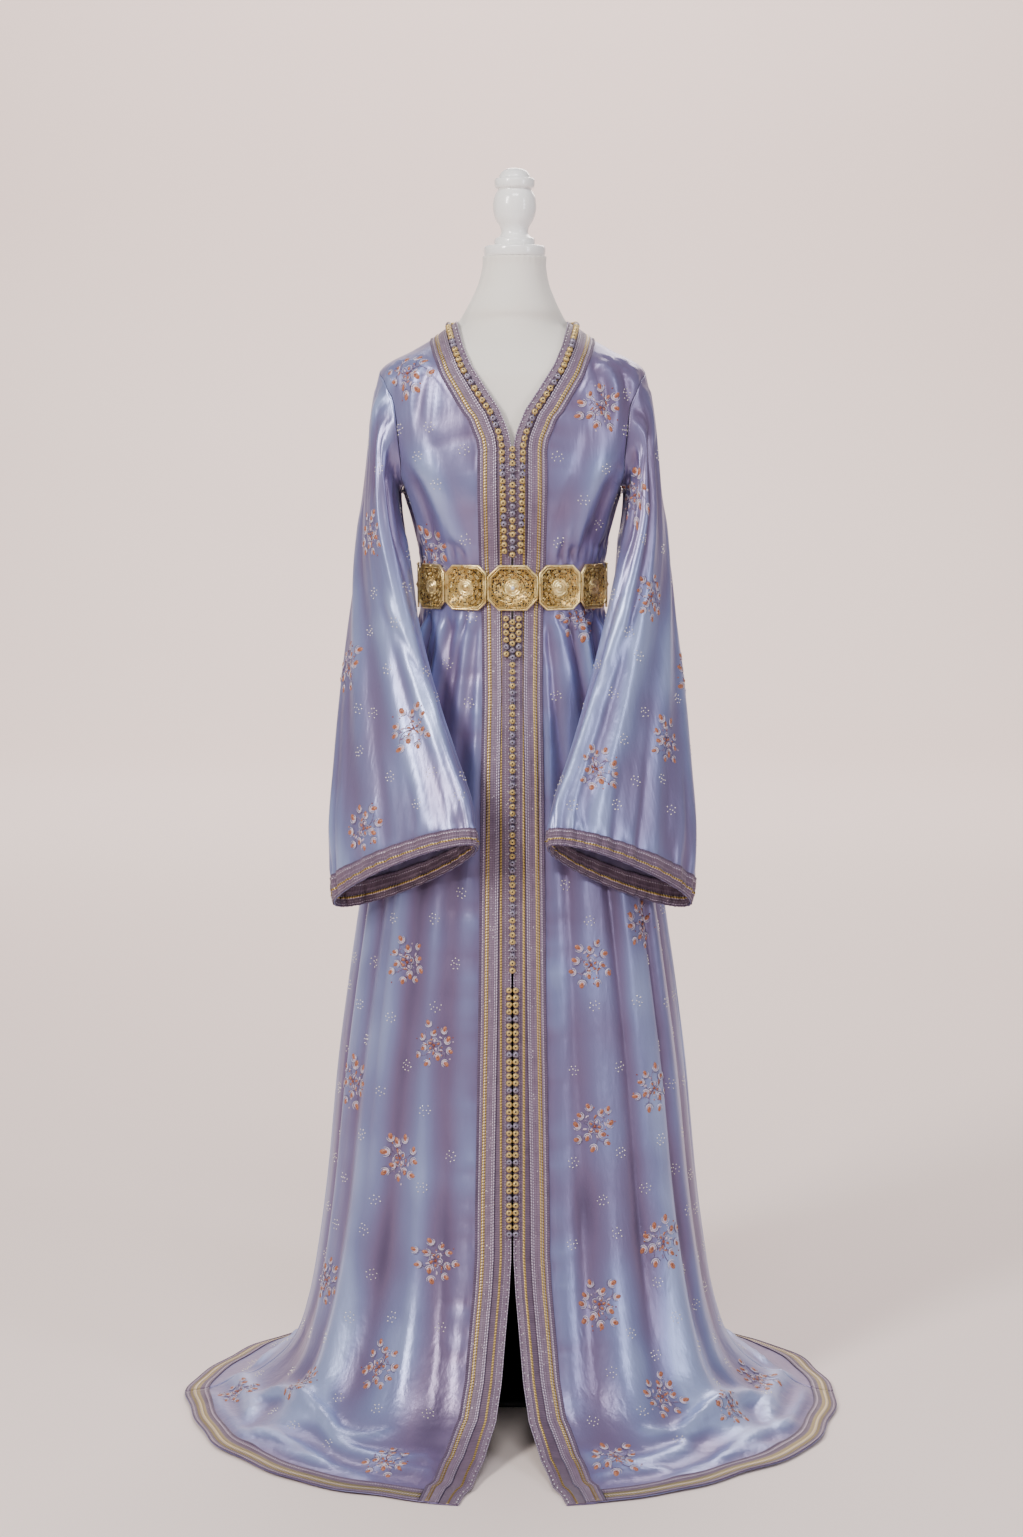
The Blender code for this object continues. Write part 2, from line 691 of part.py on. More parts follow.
def build_belt():
    planes = belt_planes()
    names = ["belt_plate_%02d" % number for number in range(1, BELT_PLATES + 1)]
    for index, name in enumerate(names):
        point, out, beside = planes[index]
        right = meeting(planes[index], planes[(index + 1) % BELT_PLATES]) - SEAM
        left = meeting(planes[index], planes[index - 1]) + SEAM
        middle = (left + right) / 2
        outline = plate_outline(left, right, BELT_BOTTOM, BELT_TOP, PLATE_CORNER if index else 0.30)
        rim = plate_outline(left + 0.004, right - 0.004, BELT_BOTTOM + 0.004, BELT_TOP - 0.004,
                            PLATE_CORNER if index else 0.30)
        centre_height = (BELT_TOP + BELT_BOTTOM) / 2
        boss = [(middle + 0.011 * math.cos(math.radians(225 + 45 * step - 11)),
                 centre_height + 0.011 * math.sin(math.radians(225 + 45 * step - 11)))
                for step in range(8)]
        layers = ((outline, 0.0), (outline, PLATE_THICKNESS), (rim, PLATE_THICKNESS - 0.0008),
                  (boss, PLATE_THICKNESS - 0.0008), (boss, PLATE_THICKNESS + 0.0012))
        points = []
        for shape, depth in layers:
            for across, height in shape:
                spot = point + beside * across + out * depth
                spot.z = height
                points.append(spot)
        count = len(outline)
        faces = [tuple(range(count))]
        for layer in range(len(layers) - 1):
            for step in range(count):
                after = (step + 1) % count
                base = layer * count
                faces.append((base + step, base + count + step, base + count + after, base + after))
        crown = len(points)
        spot = point + beside * middle + out * (PLATE_THICKNESS + 0.0040)
        spot.z = centre_height
        points.append(spot)
        top = (len(layers) - 1) * count
        faces += [(top + step, crown, top + (step + 1) % count) for step in range(count)]
        repair_normals(add_object(name, points, faces, gold))


def turned(name, profile, material, steps=18, aside=0.0):
    """A turned piece: the profile lists radius and height from the top down."""
    mesh = bpy.data.meshes.new(name)
    points = [(radius, 0.0, height) for radius, height in profile]
    mesh.from_pydata(points, [(index, index + 1) for index in range(len(points) - 1)], [])
    mesh.materials.append(material)
    item = bpy.data.objects.new(name, mesh)
    item.location.x = aside
    collection.objects.link(item)
    screw = item.modifiers.new("turn", "SCREW")
    screw.steps = steps
    screw.render_steps = steps
    screw.use_merge_vertices = True
    screw.merge_threshold = 0.00002
    return item


def build_form():
    """The dress form's body and neck in one jersey skin, closed flat at the hip."""
    columns = 20
    neck = ((NECK_TOP, 0.0425), (1.535, 0.0435), (1.515, 0.0480), (1.497, 0.0555), (1.480, 0.0640))
    rings = []
    for height, radius in neck:
        lean = 0.004 * (NECK_TOP - height) / 0.07
        aside = NECK_LEAN * (height - 1.466) / (NECK_TOP - 1.466)
        rings.append([Vector((radius * math.sin(2 * math.pi * step / columns) + aside,
                              -radius * 0.93 * math.cos(2 * math.pi * step / columns) + lean, height))
                      for step in range(columns)])
    bottom_level = level_of(FORM_BOTTOM)
    levels = [0.0, 0.6, 1.3, 2.0, 3.0, 3.5, 4.0, 5.0, 6.0, 7.0, 8.0, 9.0, 10.0, 11.0, bottom_level]
    for level in levels:
        ease = smooth_row(RINGS, level)["ease"]
        ring = []
        for step in range(columns):
            angle = 360.0 * step / columns
            off_shoulder = 1.0 - math.exp(-((abs(abs(angle - 180.0) - 90.0)) / 8.0) ** 2)
            point = plain_point(angle, level)
            point -= outward(angle, level) * (ease + FORM_EASE * off_shoulder)
            point.x = min(max(point.x, -FORM_ARM_PLATE), FORM_ARM_PLATE)
            ring.append(point)
        rings.append(ring)
    points = [point for ring in rings for point in ring]
    faces = grid_faces(len(rings), columns, shut=True)
    faces.append(tuple(reversed(range(columns))))
    faces.append(tuple(range(len(points) - columns, len(points))))
    item = add_object("form_torso", points, faces, jersey)
    repair_normals(item)
    floor_of_form = min(point.z for point in points)
    turned("neck_cap", ((0.0, 1.5662), (0.0385, 1.5662), (0.0410, 1.5645), (0.0415, 1.5600),
                        (0.0410, 1.5545), (0.0400, NECK_TOP + SEAM), (0.0, NECK_TOP + SEAM)),
           lacquer, aside=NECK_LEAN)
    turned("finial", ((0.0, 1.6690), (0.0095, 1.6680), (0.0165, 1.6645), (0.0205, 1.6590),
                      (0.0215, 1.6560), (0.0262, 1.6545), (0.0270, 1.6490), (0.0258, 1.6430),
                      (0.0225, 1.6408), (0.0272, 1.6320), (0.0290, 1.6220), (0.0286, 1.6120),
                      (0.0255, 1.6010), (0.0200, 1.5920), (0.0182, 1.5860), (0.0190, 1.5810),
                      (0.0225, 1.5780), (0.0265, 1.5755), (0.0275, 1.5710), (0.0268, 1.5666),
                      (0.0, 1.5666)), lacquer, aside=NECK_LEAN)
    turned("stand_pole", ((0.0, floor_of_form - SEAM), (POLE_RADIUS, floor_of_form - SEAM),
                          (POLE_RADIUS, STAND_HEIGHT + SEAM), (0.0, STAND_HEIGHT + SEAM)),
           black_steel, 16)
    turned("stand_base", ((0.0, STAND_HEIGHT), (0.024, STAND_HEIGHT),
                          (STAND_RADIUS - 0.012, STAND_HEIGHT - 0.004),
                          (STAND_RADIUS - 0.002, STAND_HEIGHT - 0.008), (STAND_RADIUS, 0.003),
                          (STAND_RADIUS - 0.002, 0.0), (0.0, 0.0)), black_steel, 32)


clear_scene()
collection = bpy.data.collections.new(COLLECTION)
bpy.context.scene.collection.children.link(collection)
satin = make_material("satin")
band = make_material("band")
gold = make_material("gold")
button = make_material("button")
jersey = make_material("jersey")
lacquer = make_material("lacquer")
black_steel = make_material("black_steel")
ROWS = build_rows()
build_form()
build_fronts()
build_back()
build_sleeves()
build_buttons()
build_belt()
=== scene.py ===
# %% [markdown]
# # A Moroccan kaftan on a dress form
# The real thing is a two-layer gown of shot satin. Braid bands edge the opening, the hem and the
# cuffs, knotted silk buttons run down the middle, and a belt of pierced gilt plates closes it.
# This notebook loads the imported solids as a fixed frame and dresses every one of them.

# %% Load the frame
import math
import random

import bpy
import numpy as np
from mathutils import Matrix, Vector


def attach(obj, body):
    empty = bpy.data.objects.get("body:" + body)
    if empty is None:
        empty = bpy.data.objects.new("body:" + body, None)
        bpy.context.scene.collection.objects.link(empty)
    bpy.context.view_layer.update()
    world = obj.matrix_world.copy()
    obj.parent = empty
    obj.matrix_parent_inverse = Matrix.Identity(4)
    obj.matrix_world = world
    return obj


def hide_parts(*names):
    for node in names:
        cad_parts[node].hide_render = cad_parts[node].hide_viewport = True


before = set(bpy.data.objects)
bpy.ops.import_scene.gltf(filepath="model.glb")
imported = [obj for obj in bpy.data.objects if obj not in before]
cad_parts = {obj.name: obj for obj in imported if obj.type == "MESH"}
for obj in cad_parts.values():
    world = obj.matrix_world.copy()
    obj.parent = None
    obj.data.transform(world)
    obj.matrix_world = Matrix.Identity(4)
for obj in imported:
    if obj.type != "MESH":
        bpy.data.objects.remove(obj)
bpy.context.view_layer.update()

MM = 0.001

# %% [markdown]
# ## Small tools
# Colours are written as sRGB hex, the way a swatch card gives them, and turned to the linear
# values that the shader needs. One function adds a shader node with its settings and links.

# %% Colour, node and mesh helpers
def linear(code):
    channels = [int(code[place:place + 2], 16) / 255 for place in (1, 3, 5)]
    bent = [c / 12.92 if c <= 0.04045 else ((c + 0.055) / 1.055) ** 2.4 for c in channels]
    return tuple(bent) + (1.0,)


def add_node(tree, kind, inputs=(), **settings):
    node = tree.nodes.new("ShaderNode" + kind)
    for name, value in settings.items():
        setattr(node, name, value)
    for socket, value in dict(inputs).items():
        if isinstance(value, bpy.types.NodeSocket):
            tree.links.new(value, node.inputs[socket])
        else:
            node.inputs[socket].default_value = value
    return node


def new_material(name, settings):
    material = bpy.data.materials.new(name)
    material.use_nodes = True
    tree = material.node_tree
    shader = tree.nodes["Principled BSDF"]
    for socket, value in settings.items():
        shader.inputs[socket].default_value = value
    return material, tree, shader


def colour_ramp(tree, factor, stops, interpolation="LINEAR"):
    ramp = add_node(tree, "ValToRGB", {"Fac": factor})
    ramp.color_ramp.interpolation = interpolation
    while len(ramp.color_ramp.elements) < len(stops):
        ramp.color_ramp.elements.new(1.0)
    for element, (place, code) in zip(ramp.color_ramp.elements, stops):
        element.position = place
        element.color = linear(code)
    return ramp.outputs["Color"]


def blend_colours(tree, factor, first, second, mode="MIX"):
    node = add_node(tree, "Mix", {0: factor, 6: first, 7: second}, data_type="RGBA", blend_type=mode)
    return node.outputs[2]


def grid_faces(rows, columns, shut=False, flip=False):
    """Quads of a grid of points; shut joins the last column to the first."""
    across = np.arange(columns if shut else columns - 1)
    down = np.arange(rows - 1)[:, None] * columns
    corner = down + across
    beside = down + (across + 1) % columns
    quads = np.stack([corner, corner + columns, beside + columns, beside], axis=-1).reshape(-1, 4)
    return quads[:, ::-1] if flip else quads


def mesh_object(name, points, faces, materials, uvs=None, slots=None, smooth=True):
    """A mesh object from arrays; uvs holds one pair a point, slots one number a face."""
    mesh = bpy.data.meshes.new(name)
    points = np.asarray(points, dtype=float).reshape(-1, 3)
    mesh.from_pydata(points.tolist(), [], [tuple(int(v) for v in face) for face in faces])
    for material in materials:
        mesh.materials.append(material)
    if uvs is not None:
        layer = mesh.uv_layers.new(name="along_across")
        corners = np.empty(len(mesh.loops), dtype=np.int32)
        mesh.loops.foreach_get("vertex_index", corners)
        layer.data.foreach_set("uv", np.asarray(uvs, dtype=np.float32).reshape(-1, 2)[corners].ravel())
    if slots is not None:
        mesh.polygons.foreach_set("material_index", np.asarray(slots, dtype=np.int32))
    mesh.polygons.foreach_set("use_smooth", np.full(len(mesh.polygons), smooth))
    mesh.update()
    item = bpy.data.objects.new(name, mesh)
    bpy.context.scene.collection.objects.link(item)
    return item


def add_wall(item, thickness, side=1.0, inner_slot=0):
    solidify = item.modifiers.new("wall", "SOLIDIFY")
    solidify.thickness = thickness
    solidify.offset = side
    solidify.use_even_offset = False
    solidify.material_offset = inner_slot
    solidify.material_offset_rim = 0


print("helpers ready")

# %% [markdown]
# ## Where the camera and the lights stand
# The photograph looks slightly down on the gown from about breast height, four metres back.
# A long lens keeps the hem from looking wide. Soft boxes stand high on the left, in front and
# on the right, as in a small studio, over a plain pale floor that runs up behind.

# %% Camera
LENS = 65.35
SENSOR = 36.0
CAMERA_PLACE = (-0.0012, -3.80, 1.30)
CAMERA_PITCH = 6.6

camera_data = bpy.data.cameras.new("camera")
camera_data.lens = LENS
camera_data.sensor_width = SENSOR
camera = bpy.data.objects.new("camera", camera_data)
camera.location = CAMERA_PLACE
camera.rotation_euler = (math.radians(90.0 - CAMERA_PITCH), 0.0, 0.0)
bpy.context.scene.collection.objects.link(camera)
bpy.context.scene.camera = camera


# %% Soft boxes and the world
def soft_box(name, place, target, size, power, code):
    data = bpy.data.lights.new(name, "AREA")
    data.shape = "RECTANGLE"
    data.size, data.size_y = size
    data.energy = power
    data.color = linear(code)[:3]
    light = bpy.data.objects.new(name, data)
    light.location = place
    light.rotation_euler = (Vector(target) - Vector(place)).to_track_quat("-Z", "Y").to_euler()
    bpy.context.scene.collection.objects.link(light)


soft_box("key_left", (-2.3, -2.6, 2.9), (0.0, 0.0, 0.85), (0.7, 1.6), 150, "#fffaf4")
soft_box("fill_right", (2.8, -2.2, 1.9), (0.0, 0.0, 0.8), (0.5, 2.0), 40, "#f2f4ff")
soft_box("top_front", (0.2, -1.9, 3.6), (0.0, 0.0, 0.7), (1.3, 0.6), 50, "#ffffff")
soft_box("back_rim", (0.6, 2.6, 2.8), (0.0, 0.2, 0.9), (1.8, 1.2), 40, "#fff6f0")
soft_box("wash_paper", (0.0, 5.0, 6.5), (0.0, 9.6, 0.6), (7.0, 1.5), 900, "#fff4f0")

world = bpy.data.worlds.new("studio")
bpy.context.scene.world = world
world.use_nodes = True
world.node_tree.nodes["Background"].inputs["Color"].default_value = linear("#efe6e4")
world.node_tree.nodes["Background"].inputs["Strength"].default_value = 0.36
print("camera", tuple(camera.location), "lens", LENS)

# %% [markdown]
# ## A plain floor
# A roll of seamless paper runs along the floor and curves up behind the gown, so that no line
# shows where the wall begins. It is a stage, not a piece of the object.

# %% Paper floor and backdrop
FLOOR_FRONT = -9.0
FLOOR_BACK = 8.0
PAPER_BEND = 2.5
PAPER_TOP = 7.0
PAPER_HALF_WIDTH = 10.0


def paper_profile(steps=14):
    turns = [math.pi / 2 * step / steps for step in range(steps + 1)]
    curve = [(FLOOR_BACK + PAPER_BEND * math.sin(t), PAPER_BEND * (1 - math.cos(t))) for t in turns]
    return [(FLOOR_FRONT, 0.0)] + curve + [(FLOOR_BACK + PAPER_BEND, PAPER_TOP)]


paper_points = [(x, y, z) for y, z in paper_profile() for x in (-PAPER_HALF_WIDTH, PAPER_HALF_WIDTH)]
paper, paper_tree, paper_shader = new_material("seamless_paper", {"Roughness": 0.85})
fibre = add_node(paper_tree, "TexNoise", {"Scale": 3.0, "Detail": 3.0})
paper_colour = colour_ramp(paper_tree, fibre.outputs["Fac"], [(0.3, "#f0dfd9"), (0.7, "#f4e6e0")])
paper_tree.links.new(paper_colour, paper_shader.inputs["Base Color"])
floor = mesh_object("paper_floor", paper_points, grid_faces(len(paper_points) // 2, 2)[:, ::-1], [paper])
print("paper rows", len(paper_points) // 2)

# %% [markdown]
# ## The shape of the gown
# The solids were drawn from level rings, each an oval with its own height, width and depth.
# The same table is repeated here in metres, so that the cloth lies exactly where its solid is,
# but with many more points. A level number says how far down the gown a ring lies: 0 is the neck
# edge, 3 the shoulder tips, 6 the underarms, 8 to 9 the belt, and 21 the hem on the floor.

# %% Rings, opening edge, armhole and sleeve, in metres
HEIGHT, HALF_WIDTH, FRONT, BACK, CENTRE, SQUARE, EASE = range(7)
RINGS = np.array((
    (1.466, 0.0750, 0.052, 0.056, 0.000, 2.00, 0.0022),
    (1.447, 0.0990, 0.070, 0.068, 0.000, 2.05, 0.0022),
    (1.427, 0.1320, 0.086, 0.080, 0.000, 2.10, 0.0009),
    (1.401, 0.1760, 0.100, 0.092, 0.000, 2.20, 0.0007),
    (1.360, 0.1780, 0.110, 0.102, 0.000, 2.30, 0.0040),
    (1.300, 0.1680, 0.118, 0.106, 0.000, 2.30, 0.0050),
    (1.235, 0.1460, 0.124, 0.103, 0.000, 2.20, 0.0050),
    (1.180, 0.1310, 0.113, 0.094, 0.000, 2.10, 0.0040),
    (1.145, 0.1245, 0.104, 0.088, 0.000, 2.10, 0.0035),
    (1.080, 0.1245, 0.103, 0.089, 0.000, 2.10, 0.0035),
    (1.030, 0.1330, 0.108, 0.097, 0.000, 2.10, 0.0060),
    (0.900, 0.1610, 0.130, 0.122, 0.000, 2.10, 0.0120),
    (0.750, 0.1900, 0.150, 0.146, 0.000, 2.10, 0.0250),
    (0.600, 0.2130, 0.171, 0.168, 0.000, 2.10, 0.0400),
    (0.450, 0.2330, 0.192, 0.188, 0.000, 2.10, 0.0400),
    (0.300, 0.2480, 0.220, 0.205, -0.002, 2.10, 0.0400),
    (0.190, 0.2630, 0.247, 0.222, -0.006, 2.10, 0.0400),
    (0.110, 0.2790, 0.277, 0.243, -0.012, 2.10, 0.0400),
    (0.055, 0.3020, 0.308, 0.270, -0.022, 2.05, 0.0400),
    (0.020, 0.3460, 0.345, 0.305, -0.040, 2.00, 0.0400),
    (0.006, 0.3980, 0.380, 0.345, -0.060, 2.00, 0.0400),
    (0.002, 0.4450, 0.410, 0.382, -0.080, 2.00, 0.0400),
))

# The under layer's edge: height, half of the gap, and how far outside it the outer layer begins.
EDGES = np.array((
    (1.466, 0.0750, 0.0170), (1.432, 0.0655, 0.0170), (1.407, 0.0550, 0.0170),
    (1.375, 0.0350, 0.0175), (1.347, 0.0165, 0.0185), (1.317, 0.0045, 0.0190),
    (1.300, 0.0015, 0.0195), (1.240, 0.0015, 0.0195), (1.150, 0.0015, 0.0180),
    (1.080, 0.0015, 0.0145), (0.970, 0.0015, 0.0135), (0.860, 0.0015, 0.0155),
    (0.550, 0.0015, 0.0185), (0.310, 0.0015, 0.0225), (0.240, 0.0015, 0.0230),
    (0.197, 0.0040, 0.0230), (0.092, 0.0140, 0.0230), (0.052, 0.0210, 0.0240),
    (0.020, 0.0360, 0.0270), (0.006, 0.0500, 0.0270), (0.002, 0.0670, 0.0250),
))

# The armhole: the height at the opening edge, the height at the arm, and the half width there.
ARMHOLE = (
    (1.466, 1.401, 0.1760), (1.436, 1.386, 0.1690), (1.411, 1.366, 0.1600),
    (1.386, 1.342, 0.1535), (1.360, 1.317, 0.1495), (1.334, 1.293, 0.1465),
    (1.308, 1.270, 0.1445), (1.282, 1.250, 0.1440), (1.255, 1.235, 0.1460),
)
BODY_LEVELS = (6.7, 7.35, 8.0, 9.0, 10.0, 10.6, 11.3, 12.0, 12.7, 13.4, 14.1, 14.8, 15.5, 16.2,
               17.0, 17.8, 18.6, 19.2, 19.75, 20.30, 21.0)
HEM_PLACE = 28.0
SEAM = 0.3 * MM
BAND_WIDTH = 25 * MM

# The right sleeve: middle x, y, z, half length, half thickness, turn, and two rises.
SLEEVE = np.array((
    (0.1690, -0.002, 1.298, 0.066, 0.0180, 0.0, 0.000, 0.064),
    (0.1725, -0.006, 1.255, 0.070, 0.0230, 2.0, 0.000, 0.045),
    (0.1750, -0.014, 1.195, 0.074, 0.0290, 8.0, 0.000, 0.020),
    (0.1755, -0.026, 1.130, 0.077, 0.0320, 20.0, 0.000, 0.006),
    (0.1720, -0.048, 1.050, 0.081, 0.0320, 33.0, 0.002, 0.000),
    (0.1660, -0.080, 0.965, 0.092, 0.0320, 43.0, 0.006, 0.000),
    (0.1570, -0.114, 0.880, 0.106, 0.0310, 50.0, 0.014, 0.004),
    (0.1505, -0.139, 0.815, 0.117, 0.0300, 54.0, 0.028, 0.009),
    (0.1460, -0.153, 0.762, 0.119, 0.0300, 54.0, 0.045, 0.015),
    (0.1430, -0.159, 0.735, 0.117, 0.0310, 54.0, 0.050, 0.016),
))
print("rings", len(RINGS), "edge points", len(EDGES), "sleeve rings", len(SLEEVE))


# %% Reading the tables and finding a point of the gown
def read_smooth(table, places):
    """Catmull-Rom reading of every column of a table at fractional row numbers."""
    places = np.clip(np.asarray(places, dtype=float), 0.0, len(table) - 1.0)
    index = np.minimum(places.astype(int), len(table) - 2)
    share = (places - index)[..., None]
    rows = [table[np.clip(index + step, 0, len(table) - 1)] for step in (-1, 0, 1, 2)]
    weights = (
        0.5 * (-share + 2 * share ** 2 - share ** 3),
        0.5 * (2 - 5 * share ** 2 + 3 * share ** 3),
        0.5 * (share + 4 * share ** 2 - 3 * share ** 3),
        0.5 * (-share ** 2 + share ** 3),
    )
    return sum(weight * row for weight, row in zip(weights, rows))


def unit(vectors):
    return vectors / np.maximum(np.linalg.norm(vectors, axis=-1, keepdims=True), 1e-12)


def power(value, exponent):
    return np.sign(value) * np.abs(value) ** exponent


def ease_in(value):
    """0 below 0, 1 above 1, and a smooth rise between."""
    value = np.clip(value, 0.0, 1.0)
    return value * value * (3.0 - 2.0 * value)


LEVEL_STEPS = np.linspace(0.0, len(RINGS) - 1.0, 2101)
LEVEL_HEIGHTS = read_smooth(RINGS, LEVEL_STEPS)[:, HEIGHT]


def level_of(height):
    return np.interp(-np.asarray(height), -LEVEL_HEIGHTS, LEVEL_STEPS)


def height_of(level):
    return np.interp(level, LEVEL_STEPS, LEVEL_HEIGHTS)


def plain_points(angles, levels):
    """Points of the gown without folds; the angle runs from the front, + to the right."""
    ring = read_smooth(RINGS, levels)
    turn = np.radians(angles)
    bend = 2.0 / ring[..., SQUARE]
    depth = np.where(np.cos(turn) > 0, ring[..., FRONT], ring[..., BACK])
    x = ring[..., HALF_WIDTH] * power(np.sin(turn), bend)
    y = ring[..., CENTRE] - depth * power(np.cos(turn), bend)
    return np.stack([x, y, ring[..., HEIGHT]], axis=-1)


def outward(angles, levels):
    across = plain_points(angles + 0.5, levels) - plain_points(angles - 0.5, levels)
    down = plain_points(angles, levels + 0.05) - plain_points(angles, levels - 0.05)
    return unit(np.cross(down, across))


def angle_at(width, level):
    ring = read_smooth(RINGS, level)
    share = np.clip(width / ring[..., HALF_WIDTH], -1.0, 1.0)
    return np.degrees(np.arcsin(power(share, ring[..., SQUARE] / 2.0)))


def edge_value(column, level):
    return np.interp(-height_of(level), -EDGES[:, 0], EDGES[:, column])


print("belt level", float(level_of(1.113)), "bust point", plain_points(0.0, 6.0))

# %% [markdown]
# ## Where the folds run
# Satin is stiff enough to fall in long soft folds and shiny enough to show every one of them.
# Each fold is a line that runs down the gown, with its own width, height and sway, and a bell
# shape across. The first table repeats the eleven deep folds of the solids. The second adds the
# softer ones between them, no two alike. Minus heights are troughs.

# %% Folds of the gown: angles in degrees, levels, widths and heights in millimetres
DEEP_FOLDS = (
    (-152.0, 8.0, 12.0, 10.0, 20.6), (-126.0, 8.0, 14.0, 10.0, 20.6), (-90.0, 8.0, 5.0, 11.0, 20.4),
    (-56.0, 7.0, 16.0, 11.0, 20.2), (-33.0, 6.5, 8.0, 13.0, 19.5), (31.0, 6.5, 9.0, 13.0, 19.5),
    (54.0, 7.0, 15.0, 11.0, 20.2), (90.0, 8.0, 5.0, 11.0, 20.4), (127.0, 8.0, 14.0, 10.0, 20.6),
    (153.0, 8.0, 12.0, 10.0, 20.6), (179.0, 8.0, 14.0, 10.0, 20.6),
)

# Each line: angle and level at the top, angle and level at the bottom, width at the top and at
# the bottom, height, and sway.
SOFT_FOLDS = (
    # the front, left of the opening as seen
    (-15, 9.6, -17, 20.6, 10, 24, 3.2, 1.0), (-21, 9.2, -25, 19.6, 9, 26, -4.0, 1.6),
    (-27, 12.2, -30, 20.0, 12, 22, 3.4, 1.2), (-38, 9.1, -44, 19.4, 9, 22, -5.6, 1.8),
    (-46, 9.1, -49, 17.0, 8, 15, 4.6, 1.0), (-58, 9.1, -66, 19.8, 8, 22, -6.4, 2.4),
    (-66, 9.1, -74, 20.6, 8, 24, 6.2, 1.6), (-76, 9.1, -82, 19.6, 8, 20, -5.8, 1.2),
    (-86, 10.2, -101, 20.7, 12, 28, 6.0, 2.0), (-19, 14.0, -21, 21.4, 16, 30, -3.0, 0.8),
    (-33, 4.6, -24, 7.7, 16, 10, -2.6, 1.5), (-45, 5.1, -38, 7.8, 18, 9, 3.2, 1.5),
    (-56, 5.3, -48, 7.8, 16, 8, -3.6, 1.5), (-68, 5.2, -60, 7.8, 15, 8, 3.8, 1.5),
    (-79, 5.6, -73, 7.8, 14, 8, -3.6, 1.0), (-24, 2.4, -36, 4.9, 6, 15, 2.0, 1.0),
    (-31, 2.4, -47, 5.4, 6, 16, -2.4, 1.0), (-39, 2.5, -57, 5.0, 7, 15, 2.2, 1.5),
    (-50, 2.7, -66, 4.6, 8, 14, -2.0, 1.5), (-62, 3.0, -76, 5.8, 8, 16, 2.8, 1.5),
    # the front, right of the opening
    (14, 9.8, 17, 20.0, 10, 22, 2.6, 1.4), (20, 9.2, 24, 19.2, 9, 24, -3.6, 1.2),
    (26, 9.1, 27, 15.5, 8, 18, 3.0, 1.4), (37, 9.1, 42, 19.6, 8, 22, -5.0, 2.2),
    (45, 9.1, 47, 17.6, 8, 16, 4.6, 1.2), (57, 9.1, 65, 19.4, 8, 24, -6.8, 2.0),
    (65, 9.1, 72, 20.7, 8, 22, 6.6, 1.8), (75, 9.1, 81, 20.0, 8, 22, -5.4, 1.4),
    (87, 10.4, 103, 20.6, 12, 26, 5.6, 1.8), (21, 14.6, 23, 21.4, 16, 28, -2.8, 1.0),
    (32, 4.4, 23, 7.7, 15, 10, -2.8, 1.5), (43, 5.0, 37, 7.8, 17, 9, 3.4, 1.5),
    (55, 5.4, 47, 7.8, 16, 8, -3.4, 1.5), (66, 5.1, 59, 7.8, 16, 8, 4.0, 1.5),
    (78, 5.5, 72, 7.8, 14, 8, -3.8, 1.0), (23, 2.4, 33, 5.1, 6, 16, 2.4, 1.0),
    (30, 2.4, 45, 4.9, 6, 15, -2.6, 1.5), (38, 2.4, 54, 5.4, 7, 16, 2.4, 1.0),
    (48, 2.6, 64, 4.9, 8, 15, -2.2, 1.5), (61, 3.1, 74, 5.9, 8, 15, 3.0, 1.5),
    # the back, from its right side round to its left
    (110, 9.1, 113, 20.6, 9, 26, -6.4, 1.6), (119, 9.1, 121, 17.4, 9, 20, 4.2, 1.4),
    (134, 9.1, 140, 20.0, 9, 26, -6.6, 2.0), (143, 9.2, 146, 18.2, 9, 20, 4.6, 1.2),
    (161, 9.1, 165, 20.6, 9, 28, -6.2, 1.4), (170, 9.1, 171, 17.2, 9, 20, 3.8, 1.2),
    (189, 9.1, 192, 20.4, 9, 28, -6.4, 1.8), (197, 9.1, 199, 17.8, 9, 20, 4.4, 1.2),
    (215, 9.1, 220, 20.0, 9, 26, -6.2, 1.6), (226, 9.2, 226, 17.0, 9, 18, 4.0, 1.4),
    (243, 9.1, 247, 20.4, 9, 26, -6.6, 1.8), (252, 10.0, 256, 18.6, 10, 22, 4.4, 1.0),
    (118, 4.4, 132, 7.8, 20, 9, 3.4, 2.0), (131, 4.9, 142, 7.8, 18, 9, -3.0, 1.5),
    (146, 5.2, 153, 7.8, 18, 9, 3.0, 1.0), (164, 4.2, 168, 7.8, 22, 10, -2.6, 1.0),
    (180, 4.8, 181, 7.8, 18, 10, 2.8, 1.0), (197, 4.4, 191, 7.8, 22, 10, -2.8, 1.5),
    (214, 5.0, 205, 7.8, 18, 9, 3.2, 1.0), (230, 4.6, 219, 7.8, 18, 9, -3.2, 1.5),
    (243, 4.8, 231, 7.8, 18, 9, 3.4, 1.0), (150, 2.2, 158, 4.6, 12, 20, 1.8, 1.0),
    (207, 2.3, 200, 4.9, 12, 20, 2.0, 1.0), (127, 2.9, 138, 5.2, 12, 20, -2.4, 1.0),
    (234, 2.9, 224, 5.0, 12, 20, -2.2, 1.0),
)


def gathers(seed, angles, top, shortest, longest, drift, widths, heights):
    """Small uneven gathers side by side: they all start at one level and end at several."""
    draw = random.Random(seed)
    made = []
    step = (angles[1] - angles[0]) / angles[2]
    for number in range(angles[2]):
        angle = angles[0] + step * (number + draw.uniform(0.15, 0.85))
        end = top + draw.uniform(shortest, longest)
        height = draw.uniform(*heights) * (-1 if number % 2 else 1)
        wide = draw.uniform(*widths)
        made.append((angle, top, angle + drift * draw.uniform(0.4, 1.4), end,
                     wide * 0.6, wide * 1.6, height, draw.uniform(-0.8, 0.8)))
    return made


